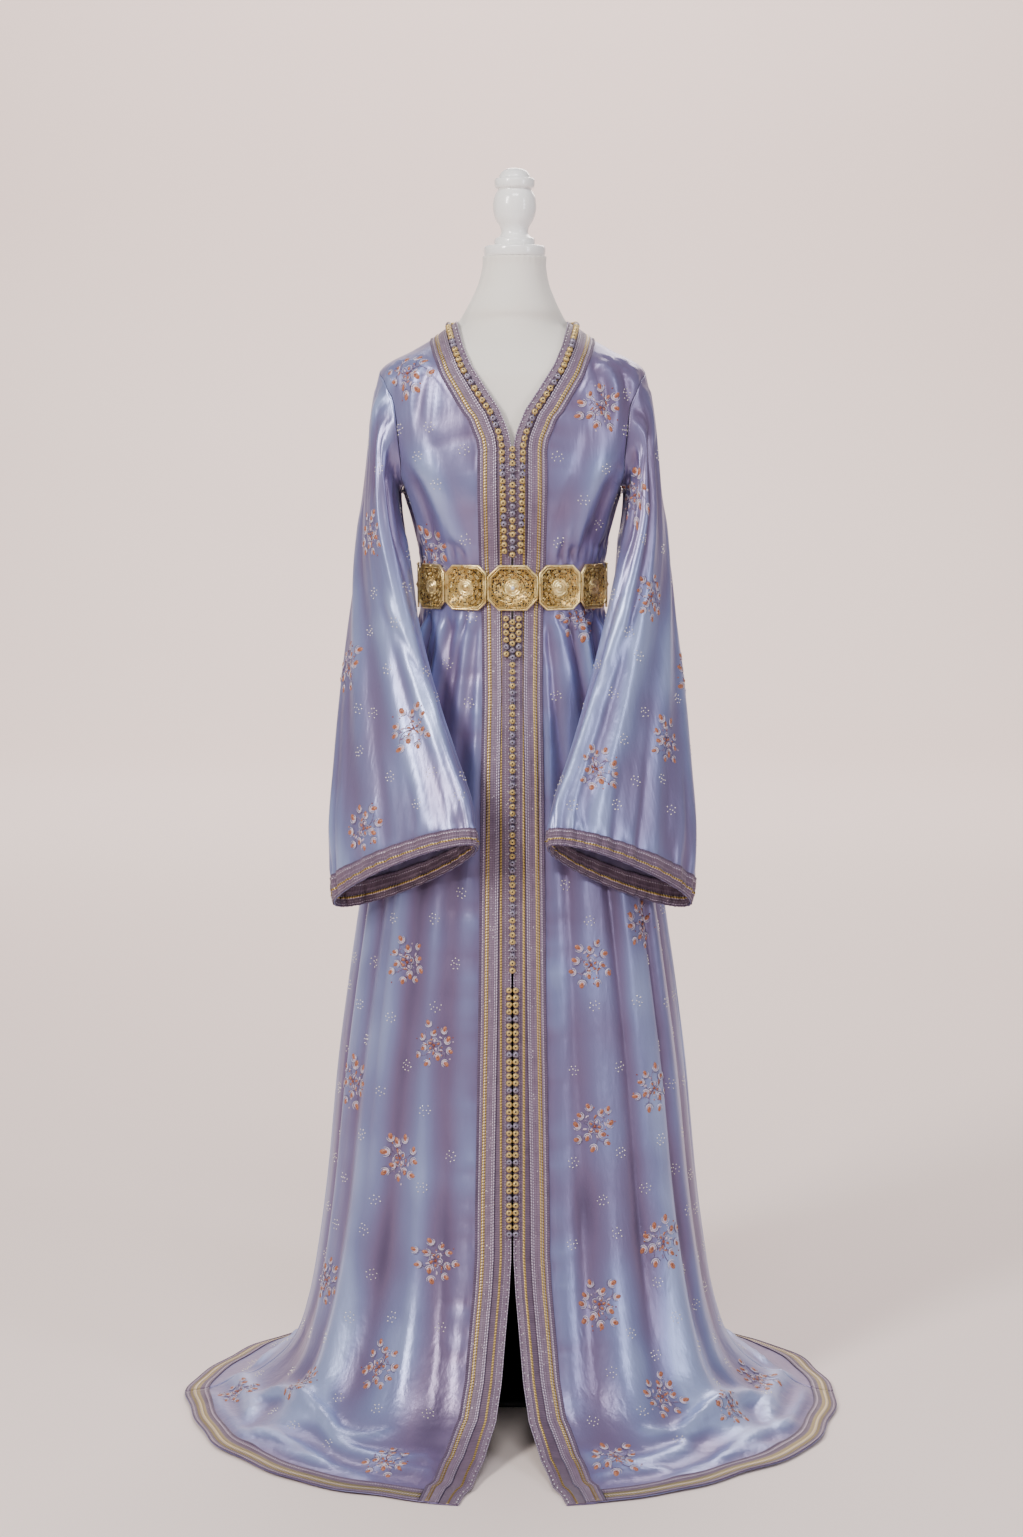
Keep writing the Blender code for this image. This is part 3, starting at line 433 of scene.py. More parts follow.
SMALL_FOLDS = []
for side in (-1, 1):
    SMALL_FOLDS += gathers(21 + side, (side * 22, side * 88, 17), 9.05, 0.8, 2.4, side * 5.0,
                           (5.5, 8.5), (2.0, 4.2))
    SMALL_FOLDS += gathers(31 + side, (side * 24, side * 88, 18), 7.95, -1.9, -0.5, side * 4.0,
                           (4.5, 7.5), (1.8, 3.4))
    SMALL_FOLDS += gathers(41 + side, (side * 24, side * 66, 15), 2.3, 1.0, 3.4, side * 7.0,
                           (3.6, 6.2), (1.4, 2.8))
SMALL_FOLDS += gathers(51, (92, 268, 34), 9.05, 0.8, 2.6, 1.0, (6.0, 9.0), (2.0, 4.4))
SMALL_FOLDS += gathers(52, (92, 268, 30), 7.95, -1.1, -0.45, 1.0, (6.0, 9.0), (1.6, 3.0))

# Where the long folds meet the floor they buckle into loops that lie across them: angle at one
# end and the other, level at the ends and at the middle, width and height.
FLOOR_LOOPS = (
    (-78, -38, 19.3, 18.5, 16, 11.0), (-44, -16, 18.9, 19.35, 14, 7.0), (-96, -62, 19.9, 19.4, 18, 9.0),
    (-30, -8, 19.9, 19.55, 12, 5.0), (-64, -34, 20.1, 19.75, 13, 6.5), (-125, -92, 19.4, 18.9, 16, 8.0),
    (76, 36, 19.2, 18.6, 16, 11.0), (42, 14, 19.1, 19.45, 14, 7.0), (98, 60, 19.8, 19.3, 18, 9.5),
    (32, 10, 20.0, 19.7, 12, 4.5), (70, 38, 20.2, 19.8, 13, 6.0), (124, 94, 19.5, 19.0, 16, 8.0),
    (-58, -22, 20.3, 20.0, 9, 4.5), (-90, -50, 20.4, 20.1, 10, 5.0), (-50, -26, 18.4, 18.9, 10, 5.0),
    (60, 26, 20.4, 20.1, 9, 4.5), (92, 56, 20.2, 20.0, 10, 5.0), (52, 28, 18.5, 18.8, 10, 5.0),
    (-20, -7, 19.0, 19.3, 10, 3.5), (24, 8, 19.3, 19.0, 10, 3.5),
    (150, 118, 19.3, 18.8, 16, 8.0), (178, 146, 19.6, 19.1, 16, 8.5), (206, 176, 19.3, 18.9, 15, 7.5),
    (236, 202, 19.6, 19.1, 16, 8.0), (222, 186, 20.2, 19.9, 13, 5.0), (160, 128, 20.3, 19.9, 13, 5.0),
)
print("soft folds", len(SOFT_FOLDS), "gathers", len(SMALL_FOLDS), "loops", len(FLOOR_LOOPS))


# %% How high the cloth stands at a place
GIRTH_LEVELS = np.linspace(0.0, 21.0, 211)
turn_steps = np.linspace(0.0, 360.0, 181)
girth_points = plain_points(turn_steps[None, :], np.repeat(GIRTH_LEVELS[:, None], 181, axis=1))
GIRTHS = np.linalg.norm(np.diff(girth_points, axis=1), axis=-1).sum(axis=1)


def turned_between(angles, middle):
    return (angles - middle + 180.0) % 360.0 - 180.0


def deep_rise(angles, levels):
    rise = np.zeros(np.shape(angles))
    for angle, spread, height, top, bottom in DEEP_FOLDS:
        fade = np.clip((levels - top) / 6.0, 0.0, 1.0) * np.clip((bottom - levels) / 1.5, 0.0, 1.0)
        rise += height * fade * np.exp(-(turned_between(angles, angle) / spread) ** 2)
    return rise * MM


def line_rise(across_place, down_place, metres_across, folds, blunt_start):
    """Folds that run down a sheet; blunt_start is how quickly they reach their height."""
    rise = np.zeros(np.shape(across_place))
    for start, top, end, bottom, wide_top, wide_bottom, height, sway in folds:
        share = (down_place - top) / (bottom - top)
        inside = np.clip(share, 0.0, 1.0)
        middle = start + (end - start) * inside + sway * np.sin(5.0 * inside + start)
        away = turned_between(across_place, middle) * metres_across
        wide = (wide_top + (wide_bottom - wide_top) * inside) * MM
        lean = 1.0 + 0.3 * math.copysign(1.0, sway) * np.tanh(away / wide)
        fade = ease_in(share * abs(bottom - top) / blunt_start) * ease_in((1.0 - share) * 2.2)
        rise += height * fade * np.exp(-(away / (wide * lean)) ** 2)
    return rise * MM


def loop_rise(angles, levels):
    rise = np.zeros(np.shape(angles))
    step = 0.05
    stride = plain_points(angles, levels + step) - plain_points(angles, levels - step)
    metres_down = np.linalg.norm(stride, axis=-1) / (2 * step)
    for start, end, level_ends, level_middle, wide, height in FLOOR_LOOPS:
        share = turned_between(angles, start) / (end - start)
        inside = np.clip(share, 0.0, 1.0)
        bow = 4.0 * inside * (1.0 - inside)
        path = level_ends + (level_middle - level_ends) * bow
        away = (levels - path) * metres_down
        rise += 1.15 * height * ease_in(bow * 1.4) * np.exp(-np.abs(away / (0.78 * wide * MM)) ** 1.4)
    return rise * MM


def gown_rise(angles, levels, free):
    """All folds together; free is 0 under the stiff braid and 1 on loose cloth."""
    metres = np.interp(levels, GIRTH_LEVELS, GIRTHS) / 360.0
    soft = line_rise(angles, levels, metres, SOFT_FOLDS, 0.5)
    soft += line_rise(angles, levels, metres, SMALL_FOLDS, 0.18)
    belted = ease_in((levels - 7.75) / 0.25) * ease_in((9.2 - levels) / 0.2)
    soft *= 1.0 - 0.93 * belted
    on_floor = ease_in((levels - 17.6) / 2.4)
    soft = soft * (1.0 - on_floor) + 0.8 * np.maximum(soft, 0.0) * on_floor
    bust = np.exp(-((np.abs(turned_between(angles, 0.0)) - 43) / 19) ** 2 - ((levels - 5.35) / 0.85) ** 2)
    return deep_rise(angles, levels) + free * (soft + loop_rise(angles, levels) + 7.0 * MM * bust)


print("hip girth", round(float(np.interp(11.0, GIRTH_LEVELS, GIRTHS)), 3), "m")

# %% [markdown]
# ## Grids of cloth
# Each panel is a grid of points, about 8 mm apart down the gown and 3 to 5 mm across. The grid is
# kept after the panel is made, because braid and embroidery are laid on it: whatever is
# sewn on then follows every fold, a fraction of a millimetre off the cloth.

# %% A grid that can be read between its points
class Cloth:
    def __init__(self, points, rise, hand=1.0, shut=False):
        self.points = points
        self.rise = rise
        self.hand = hand
        self.shut = shut
        self.normals = self.stand_out()

    def stand_out(self):
        points = self.points
        down = np.gradient(points, axis=0)
        if self.shut:
            wrapped = np.concatenate([points[:, -1:], points, points[:, :1]], axis=1)
            across = (wrapped[:, 2:] - wrapped[:, :-2]) / 2
        else:
            across = np.gradient(points, axis=1)
        return unit(np.cross(down, across)) * self.hand

    def read(self, table, rows, columns):
        count_rows, count_columns = table.shape[:2]
        rows = np.clip(np.asarray(rows, dtype=float), 0.0, count_rows - 1.0)
        columns = np.asarray(columns, dtype=float)
        if not self.shut:
            columns = np.clip(columns, 0.0, count_columns - 1.0)
        above = np.minimum(rows.astype(int), count_rows - 2)
        before = np.floor(columns).astype(int)
        if not self.shut:
            before = np.minimum(before, count_columns - 2)
        part_row = (rows - above)[..., None]
        part_column = (columns - before)[..., None]
        after = (before + 1) % count_columns
        before = before % count_columns
        upper = table[above, before] * (1 - part_column) + table[above, after] * part_column
        lower = table[above + 1, before] * (1 - part_column) + table[above + 1, after] * part_column
        return upper * (1 - part_row) + lower * part_row

    def lay(self, rows, columns, lift=0.0):
        """Points on the cloth at fractional rows and columns, lifted off it."""
        normals = unit(self.read(self.normals, rows, columns))
        return self.read(self.points, rows, columns) + normals * np.asarray(lift)[..., None]

    def nearest(self, target, axes, facing):
        """The place nearest to a target given on two axes, on the side that faces the third."""
        gap = np.linalg.norm(self.points[..., list(axes)] - np.asarray(target), axis=-1)
        gap = np.where(self.normals @ np.asarray(facing, dtype=float) > 0.15, gap, 1.0)
        row, column = np.unravel_index(np.argmin(gap), gap.shape)
        return float(row), float(column), float(gap[row, column])

    def strides(self, row, column):
        """Metres to the next row and the next column at a place."""
        here = self.lay(row, column)
        below = self.lay(row + 1.0, column) - self.lay(row - 1.0, column)
        beside = self.lay(row, column + 1.0) - self.lay(row, column - 1.0)
        return here, below / 2, beside / 2


def smooth_rows(table, places):
    """read_smooth for a table whose rows are whole rings of points."""
    flat = table.reshape(len(table), -1)
    return read_smooth(flat, places).reshape((len(places),) + table.shape[1:])


# %% Rows of the front and the addresses across each
def front_row_table():
    rows = []
    for edge_height, arm_height, half_width in ARMHOLE:
        arm_level = float(level_of(arm_height))
        rows.append((float(level_of(edge_height)), arm_level, float(angle_at(half_width, arm_level))))
    rows[0] = (0.0, 3.0, 90.0)
    rows[-1] = (rows[-1][0], 6.0, 90.0)
    rows += [(level, level, 90.0) for level in BODY_LEVELS]
    return np.array(rows)


ROWS = front_row_table()
ROW_PITCH = 7.6 * MM


def edge_angles(levels):
    return np.where(levels <= 0.001, 90.0, angle_at(edge_value(1, levels), levels))


def even_places(table, pitch):
    """Fractional row numbers that are about one pitch apart on the gown."""
    places = [0.0]
    middle = plain_points(np.minimum(edge_angles(table[:, 0]) + 30.0, 90.0), table[:, 1])
    edge = plain_points(edge_angles(table[:, 0]), table[:, 0])
    for number in range(len(table) - 1):
        length = max(np.linalg.norm(edge[number + 1] - edge[number]),
                     np.linalg.norm(middle[number + 1] - middle[number]))
        count = max(int(round(length / pitch)), 2)
        places += [number + step / count for step in range(1, count + 1)]
    return np.array(places)


def front_rows(places):
    rows = read_smooth(ROWS, places)
    rows[:, 2] = np.minimum(rows[:, 2], 90.0)
    return rows


def across_addresses(rows, widths):
    """Angles and levels across each row at distances measured square to the opening edge."""
    share = np.linspace(0.0, 1.0, 241)
    start = edge_angles(rows[:, 0])
    angles = start[:, None] + share * (rows[:, 2] - start)[:, None]
    levels = rows[:, :1] + share * (rows[:, 1] - rows[:, 0])[:, None]
    points = plain_points(angles, levels)
    steps = np.linalg.norm(np.diff(points, axis=1), axis=-1)
    walked = np.concatenate([np.zeros((len(rows), 1)), np.cumsum(steps, axis=1)], axis=1)
    along = unit(np.gradient(points[:, 0], axis=0))
    across = unit(points[:, 4] - points[:, 0])
    slant = np.maximum(np.linalg.norm(np.cross(along, across), axis=-1), 0.5)
    shares = np.array([np.interp(wanted / lean, lengths, share)
                       for wanted, lean, lengths in zip(widths, slant, walked)])
    wide_angles = start[:, None] + shares * (rows[:, 2] - start)[:, None]
    wide_levels = rows[:, :1] + shares * (rows[:, 1] - rows[:, 0])[:, None]
    return wide_angles, wide_levels


FRONT_PLACES = even_places(ROWS, ROW_PITCH)
FRONT_ROWS = front_rows(FRONT_PLACES)
REVEALS = edge_value(2, FRONT_ROWS[:, 0])
BAND_COLUMNS = 6
PANEL_COLUMNS = 92
UNDER_COLUMNS = 10
HEM_ROW = int(np.searchsorted(FRONT_PLACES, HEM_PLACE))
print("front rows", len(FRONT_PLACES), "hem band from row", HEM_ROW)


# %% The panels' grids
def on_floor(points):
    points[..., 2] = np.maximum(points[..., 2], 1.6 * MM)
    return points


def gown_cloth(angles, levels, free, hand):
    rise = gown_rise(angles, levels, free)
    points = plain_points(angles, levels) + outward(angles, levels) * rise[..., None]
    turn = np.radians(angles)
    wave = 3.2 * np.sin(7 * turn + 0.6) + 2.6 * np.sin(12 * turn + 2.1) + 1.8 * np.sin(23 * turn + 0.3)
    from_opening = np.abs(turned_between(angles, 0.0))
    slide = wave * MM * ease_in((levels - 19.6) / 1.2) * ease_in((from_opening - 14) / 12)
    points[..., 0] += np.sin(turn) * slide
    points[..., 1] -= np.cos(turn) * slide
    return Cloth(on_floor(points), rise, hand)


def puckered(cloth, beyond, seed):
    """Small tucks that the braid's seam draws in the satin, 15 to 35 mm apart and fading outward."""
    draw = random.Random(seed)
    walked = np.arange(len(cloth.points)) * ROW_PITCH
    pull = np.zeros(len(cloth.points))
    reach = np.zeros(len(cloth.points))
    place = 0.03
    while place < walked[-1] - 0.03:
        bell = np.exp(-((walked - place) / draw.uniform(0.006, 0.010)) ** 2)
        pull += draw.uniform(-1.5, 1.1) * MM * bell
        reach += draw.uniform(0.0, 0.02) * bell
        place += draw.uniform(0.015, 0.036)
    fade = ease_in(beyond / 0.004) * np.exp(-beyond / (0.012 + reach[:, None]))
    rise = pull[:, None] * fade
    points = cloth.points + cloth.normals * rise[..., None]
    return Cloth(on_floor(points), cloth.rise + 2.5 * rise, cloth.hand)


def front_cloth(side):
    """The outer front: columns under the braid first, then the satin out to the side seam."""
    band_widths = REVEALS[:, None] + np.linspace(0.0, BAND_WIDTH, BAND_COLUMNS + 1)
    angles, levels = across_addresses(FRONT_ROWS, band_widths)
    share = np.linspace(0.0, 1.0, PANEL_COLUMNS + 1)[1:]
    wide_angles = angles[:, -1:] + share * (FRONT_ROWS[:, 2:3] - angles[:, -1:])
    wide_levels = levels[:, -1:] + share * (FRONT_ROWS[:, 1:2] - levels[:, -1:])
    angles = np.concatenate([angles, wide_angles], axis=1)
    levels = np.concatenate([levels, wide_levels], axis=1)
    points = plain_points(angles, levels)
    steps = np.linalg.norm(np.diff(points[:, BAND_COLUMNS:], axis=1), axis=-1)
    beyond = np.concatenate([np.zeros((len(points), BAND_COLUMNS + 1)), np.cumsum(steps, axis=1)], axis=1)
    free = ease_in(beyond / (9 * MM))
    cloth = gown_cloth(side * angles, levels, free, side)
    return puckered(cloth, beyond, 70 + int(side))


def under_cloth(side):
    """The under layer, from its edge to below the braid of the outer one."""
    widths = (REVEALS + BAND_WIDTH / 2)[:, None] * np.linspace(0.0, 1.0, UNDER_COLUMNS + 1)
    angles, levels = across_addresses(FRONT_ROWS, widths)
    return gown_cloth(side * angles, levels, np.zeros(angles.shape), side)


def neck_levels(widths):
    """Levels that lie these distances from the neck edge along the shoulder."""
    levels = np.linspace(0.0, 3.2, 321)
    points = plain_points(np.full(321, 90.0), levels)
    walked = np.concatenate([[0.0], np.cumsum(np.linalg.norm(np.diff(points, axis=0), axis=-1))])
    return np.interp(widths, walked, levels)


def back_sides(levels):
    return 180.0 - np.where(levels < 3.0, 90.0, np.interp(levels, FRONT_ROWS[:, 1], FRONT_ROWS[:, 2]))


BACK_COLUMNS = 124
NECK_REVEAL = 17 * MM


def back_grid(levels):
    sides = back_sides(levels)
    share = np.linspace(0.0, 1.0, BACK_COLUMNS + 1)
    angles = sides[:, None] + share * (360.0 - 2 * sides)[:, None]
    return angles, np.repeat(levels[:, None], BACK_COLUMNS + 1, 1)


def back_cloth():
    band_levels = neck_levels(NECK_REVEAL + np.linspace(0.0, BAND_WIDTH, BAND_COLUMNS + 1))
    shoulder = np.linspace(band_levels[-1], 3.0, 9)[1:]
    below = FRONT_ROWS[FRONT_ROWS[:, 1] > 3.03][:, 1]
    levels = np.concatenate([band_levels, shoulder, below])
    angles, grid_levels = back_grid(levels)
    free = ease_in((grid_levels - band_levels[-1]) / 0.35)
    return gown_cloth(angles, grid_levels, free, 1.0), levels


FRONTS = {"right": front_cloth(1.0), "left": front_cloth(-1.0)}
UNDERS = {"right": under_cloth(1.0), "left": under_cloth(-1.0)}
BACK_CLOTH, BACK_LEVELS = back_cloth()
print("front grid", FRONTS["right"].points.shape[:2], "back grid", BACK_CLOTH.points.shape[:2])

# %% [markdown]
# ## Sleeves
# A sleeve is a wide tube that starts at the armhole and hangs forward to the cuff. Its rings are
# flat ovals that turn inward on the way down. The first ring is the armhole itself, read from
# the panels, so that the seam closes.

# %% Sleeve folds and grids: turn 0 is the outside of the arm, 90 the front, 180 the underarm
DEEP_SLEEVE_FOLDS = ((-22.0, 2.0), (30.0, 5.0), (75.0, 3.0), (180.0, 2.0), (300.0, 3.0))
SLEEVE_FOLDS = (
    (14, 0.6, 8, 7.6, 14, 20, -3.2, 4.0), (44, 0.2, 52, 8.4, 12, 18, -3.8, 5.0),
    (58, 1.4, 66, 7.8, 10, 16, 3.2, 4.0), (92, 0.4, 100, 6.8, 10, 14, -3.0, 5.0),
    (112, 2.2, 118, 8.2, 12, 20, 3.0, 4.0), (132, 0.5, 139, 7.9, 12, 20, -3.6, 4.0),
    (158, 1.6, 160, 8.5, 12, 18, 3.0, 3.0), (204, 0.6, 200, 8.1, 14, 20, -3.2, 4.0),
    (228, 1.0, 226, 7.6, 12, 20, 3.0, 4.0), (252, 0.5, 248, 8.3, 12, 22, -3.4, 4.0),
    (276, 1.4, 277, 7.7, 10, 16, 2.8, 4.0), (322, 0.6, 328, 8.2, 12, 18, -3.2, 4.0),
    (345, 1.8, 350, 7.2, 12, 16, 2.6, 3.0), (36, -0.9, 24, 1.6, 8, 14, 2.6, 2.0),
    (62, -0.9, 46, 2.0, 8, 16, -2.8, 2.0), (86, -0.9, 72, 1.8, 8, 14, 2.6, 2.0),
    (-40, -0.9, -26, 1.7, 8, 15, 2.6, 2.0), (-66, -0.9, -50, 2.0, 8, 15, -2.6, 2.0),
    (118, -0.7, 104, 1.5, 8, 12, -2.4, 2.0), (70, 3.2, 34, 4.6, 10, 9, 2.4, 2.0),
    (40, 3.4, 84, 5.0, 9, 10, -2.2, 2.0), (100, 4.4, 66, 6.0, 9, 10, 2.0, 2.0),
)
SLEEVE_COLUMNS_DENSE = 120


def sleeve_rings(turns, loop):
    spin = np.radians(SLEEVE[:, 5])[:, None]
    long_way = np.sin(turns)[None, :] * SLEEVE[:, 3:4]
    short_way = np.cos(turns)[None, :] * SLEEVE[:, 4:5]
    x = SLEEVE[:, 0:1] - np.sin(spin) * long_way + np.cos(spin) * short_way
    y = SLEEVE[:, 1:2] - np.cos(spin) * long_way - np.sin(spin) * short_way
    z = SLEEVE[:, 2:3] + SLEEVE[:, 6:7] * np.sin(turns) + SLEEVE[:, 7:8] * np.cos(turns)
    return np.concatenate([loop[None], np.stack([x, y, z], axis=-1)])


def armhole_ring(count, side):
    """The armhole from the shoulder tip down the front and up the back, as the panels hold it."""
    last = len(ARMHOLE) - 1.0
    place = np.arange(count) / count * 2 * last
    at_front = place <= last
    rows = front_rows(np.where(at_front, place, 2 * last - place))
    angles = np.where(at_front, rows[:, 2], 180.0 - rows[:, 2])
    rise = gown_rise(side * angles, rows[:, 1], np.ones(count))
    points = plain_points(side * angles, rows[:, 1])
    points += outward(side * angles, rows[:, 1]) * rise[:, None]
    points[:, 0] = points[:, 0] * side + 1.8 * MM
    return points


def sleeve_cloth(side):
    count = SLEEVE_COLUMNS_DENSE
    turns = 2 * math.pi * np.arange(count) / count
    rings = sleeve_rings(turns, armhole_ring(count, side))
    lengths = np.linalg.norm(np.diff(rings, axis=0), axis=-1).max(axis=1)
    places = [0.0]
    for number, length in enumerate(lengths):
        steps = max(int(round(length / ROW_PITCH)), 2)
        places += [number + step / steps for step in range(1, steps + 1)]
    places = np.array(places)
    points = smooth_rows(rings, places)
    degrees = np.degrees(turns)[None, :] + np.zeros((len(places), 1))
    down = places[:, None] - 1.0 + np.zeros((1, count))
    girth = np.linalg.norm(np.diff(points, axis=1), axis=-1).sum(axis=1, keepdims=True)
    swap = [(turn + 7.0 * math.sin(turn) * side, top, end + 6.0 * math.cos(turn) * side, bottom,
             wide, wide_low, height, sway * side)
            for turn, top, end, bottom, wide, wide_low, height, sway in SLEEVE_FOLDS]
    small = gathers(61 + int(side), (0, 360, 68), 8.86, -1.9, -0.7, 2.0, (3.4, 5.6), (1.8, 3.6))
    small += gathers(65 + int(side), (0, 360, 30), 8.80, -6.0, -2.6, 5.0, (3.6, 5.6), (1.2, 2.4))
    small += gathers(67 + int(side), (0, 360, 26), -0.4, 3.0, 6.5, 6.0, (3.6, 5.8), (1.0, 2.2))
    near_cuff = ease_in((8.92 - down) / 0.14)
    rise = line_rise(degrees, down, girth / 360.0, swap, 0.5)
    rise = (rise + line_rise(degrees, down, girth / 360.0, small, 0.16)) * near_cuff
    fade = np.clip((down - 1.0) / 3.0, 0.0, 1.0) * np.clip((9.0 - down) / 2.0, 0.25, 1.0)
    for angle, height in DEEP_SLEEVE_FOLDS:
        rise += height * MM * fade * np.exp(-(turned_between(degrees, angle) / 16.0) ** 2)
    rise *= ease_in((down + 1.0) / 0.35)
    plain = Cloth(points, rise, -1.0, shut=True)
    folded = points + plain.normals * rise[..., None]
    folded[..., 0] *= side
    return Cloth(folded, rise, -side, shut=True), places


SLEEVES = {}
for hand, side in (("right", 1.0), ("left", -1.0)):
    SLEEVES[hand], SLEEVE_PLACES = sleeve_cloth(side)
CUFF_ROW = float(np.interp(9.0, SLEEVE_PLACES, np.arange(len(SLEEVE_PLACES))))
print("sleeve grid", SLEEVES["right"].points.shape[:2], "cuff band from row", round(CUFF_ROW, 1))

# %% [markdown]
# ## The satin
# The cloth is a five-end satin of filament yarn, woven with a blue warp and a mauve weft. The
# long floats give it a soft, wide, almost metallic gloss. Its colour runs from dark mauve in the
# troughs of the folds to pale periwinkle on their crests: painted shade in the troughs and a painted
# highlight on the crests, mixed with random patches of the two colours. The height of each fold is
# stored on the mesh as a number, so this painted shade follows the folds from every side. The weave
# itself, about 0.05 mm, is too fine to show, so only slight puckers of 10 to 30 mm and a faint slub are drawn.

# %% Shot satin and its duller reverse
def shot_satin(name, crest_shade_stops, roughness, sheen, metallic):
    settings = {"Roughness": roughness, "Metallic": metallic, "IOR": 1.5, "Sheen Weight": sheen,
                "Sheen Roughness": 0.35, "Sheen Tint": linear("#cfd6ff"), "Anisotropic": 0.45,
                "Specular IOR Level": 0.7}
    material, tree, shader = new_material(name, settings)
    place = add_node(tree, "TexCoord").outputs["Object"]
    # The fold height stored on the mesh makes the troughs darker and the crests lighter: painted shade and
    # painted highlight. The cloud adds random patches of blue and mauve.
    crest_shade = add_node(tree, "Attribute", attribute_name="crest_shade").outputs["Fac"]
    cloud = add_node(tree, "TexNoise", {"Vector": place, "Scale": 5.5, "Detail": 2.0})
    drift = add_node(tree, "Math", {0: cloud.outputs["Fac"], 1: 1.05, 2: -0.525}, operation="MULTIPLY_ADD")
    height = add_node(tree, "Math", {0: crest_shade, 1: drift.outputs["Value"]}, operation="ADD", use_clamp=True)
    colour = colour_ramp(tree, height.outputs["Value"], crest_shade_stops)
    tree.links.new(colour, shader.inputs["Base Color"])
    stretched = add_node(tree, "Mapping", {"Vector": place, "Scale": (1.0, 1.0, 0.35)})
    pucker = add_node(tree, "TexNoise", {"Vector": stretched.outputs["Vector"], "Scale": 46.0, "Detail": 3.5})
    slub = add_node(tree, "TexNoise", {"Vector": stretched.outputs["Vector"], "Scale": 420.0, "Detail": 1.0})
    long_way = add_node(tree, "Mapping", {"Vector": place, "Scale": (1.0, 1.0, 0.09)})
    streak = add_node(tree, "TexNoise", {"Vector": long_way.outputs["Vector"], "Scale": 75.0, "Detail": 2.0,
                                         "Distortion": 0.4})
    drawn = add_node(tree, "Bump", {"Height": streak.outputs["Fac"], "Strength": 0.30, "Distance": 0.0022})
    soft = add_node(tree, "Bump", {"Height": pucker.outputs["Fac"], "Strength": 0.26, "Distance": 0.004,
                                   "Normal": drawn.outputs["Normal"]})
    fine = add_node(tree, "Bump", {"Height": slub.outputs["Fac"], "Strength": 0.08, "Distance": 0.0006,
                                   "Normal": soft.outputs["Normal"]})
    tree.links.new(fine.outputs["Normal"], shader.inputs["Normal"])
    rough = add_node(tree, "MapRange", {"Value": pucker.outputs["Fac"], "To Min": roughness - 0.05,
                                        "To Max": roughness + 0.06})
    tree.links.new(rough.outputs["Result"], shader.inputs["Roughness"])
    grain = add_node(tree, "Tangent", direction_type="RADIAL", axis="Z")
    tree.links.new(grain.outputs["Tangent"], shader.inputs["Tangent"])
    return material


# Colours from trough to crest: the dark end is painted shade, the pale periwinkle end a painted highlight.
SATIN_STOPS = [(0.05, "#56496a"), (0.34, "#76668b"), (0.56, "#7a739e"), (0.78, "#8086b6"), (1.0, "#9caad8")]
REVERSE_STOPS = [(0.1, "#463c5a"), (0.6, "#5a5275"), (1.0, "#6a678a")]
satin = shot_satin("shot_silk_satin", SATIN_STOPS, 0.33, 0.22, 0.45)
satin_reverse = shot_satin("satin_reverse", REVERSE_STOPS, 0.55, 0.15, 0.05)


# %% Panels and sleeves as thin shells on their solids
SATIN_WALL = 0.8 * MM


def cloth_piece(name, cloth, nodes, materials, offset=0.0, wall=SATIN_WALL, side=1.0, light=0.5):
    rows, columns = cloth.points.shape[:2]
    points = cloth.points + cloth.normals * offset
    across = np.linalg.norm(np.diff(points, axis=1), axis=-1)
    down = np.linalg.norm(np.diff(points, axis=0), axis=-1)
    u = np.concatenate([np.zeros((rows, 1)), np.cumsum(across, axis=1)], axis=1)
    v = np.concatenate([np.zeros((1, columns)), np.cumsum(down, axis=0)], axis=0)
    faces = grid_faces(rows, columns, cloth.shut, flip=cloth.hand < 0)
    item = mesh_object(name, points, faces, materials, uvs=np.stack([u, v], axis=-1))
    # The fold height, shifted by light, is stored only to paint shade in the troughs and highlight on the
    # crests; a higher light paints the whole piece lighter.
    crest_shade = item.data.attributes.new("crest_shade", "FLOAT", "POINT")
    height = light + cloth.rise / (18 * MM)
    crest_shade.data.foreach_set("value", height.astype(np.float32).ravel())
    add_wall(item, wall, side, inner_slot=len(materials) - 1)
    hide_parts(*nodes)
    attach(item, "root")
    return item


satin_pieces = {}
for hand in ("right", "left"):
    satin_pieces["front_" + hand] = cloth_piece(
        "gown_front_" + hand, FRONTS[hand], ["bodice_front_" + hand, "skirt_front_" + hand],
        [satin, satin_reverse], offset=SEAM, wall=SATIN_WALL)
    # The sleeves take a higher light value, so their satin is painted lighter: painted light.
    satin_pieces["sleeve_" + hand] = cloth_piece(
        "gown_sleeve_" + hand, SLEEVES[hand], ["sleeve_front_" + hand, "sleeve_back_" + hand],
        [satin, satin_reverse], wall=SATIN_WALL, side=-1.0, light=0.62)
satin_pieces["back"] = cloth_piece(
    "gown_back", BACK_CLOTH, ["bodice_back", "skirt_back_left", "skirt_back_right"],
    [satin, satin_reverse], offset=SEAM)
for hand in ("right", "left"):
    satin_pieces["under_" + hand] = cloth_piece(
        "under_front_cloth_" + hand, UNDERS[hand], ["under_front_" + hand],
        [satin, satin_reverse], offset=-SEAM, side=-1.0)
print("satin pieces", sorted(satin_pieces))

# %% [markdown]
# ## Braid bands
# The edges are bound with woven metallic braid, 25 mm wide on the fronts: a plum ground with
# lilac lurex, one raised stripe of plaited gold thread, pale cords beside it and dark piping at
# the outer edge. A band is a strip with that cross-section, laid along the cloth it is sewn to.
# The faces of each stripe have a material of their own, so a stripe stays sharp from any side.

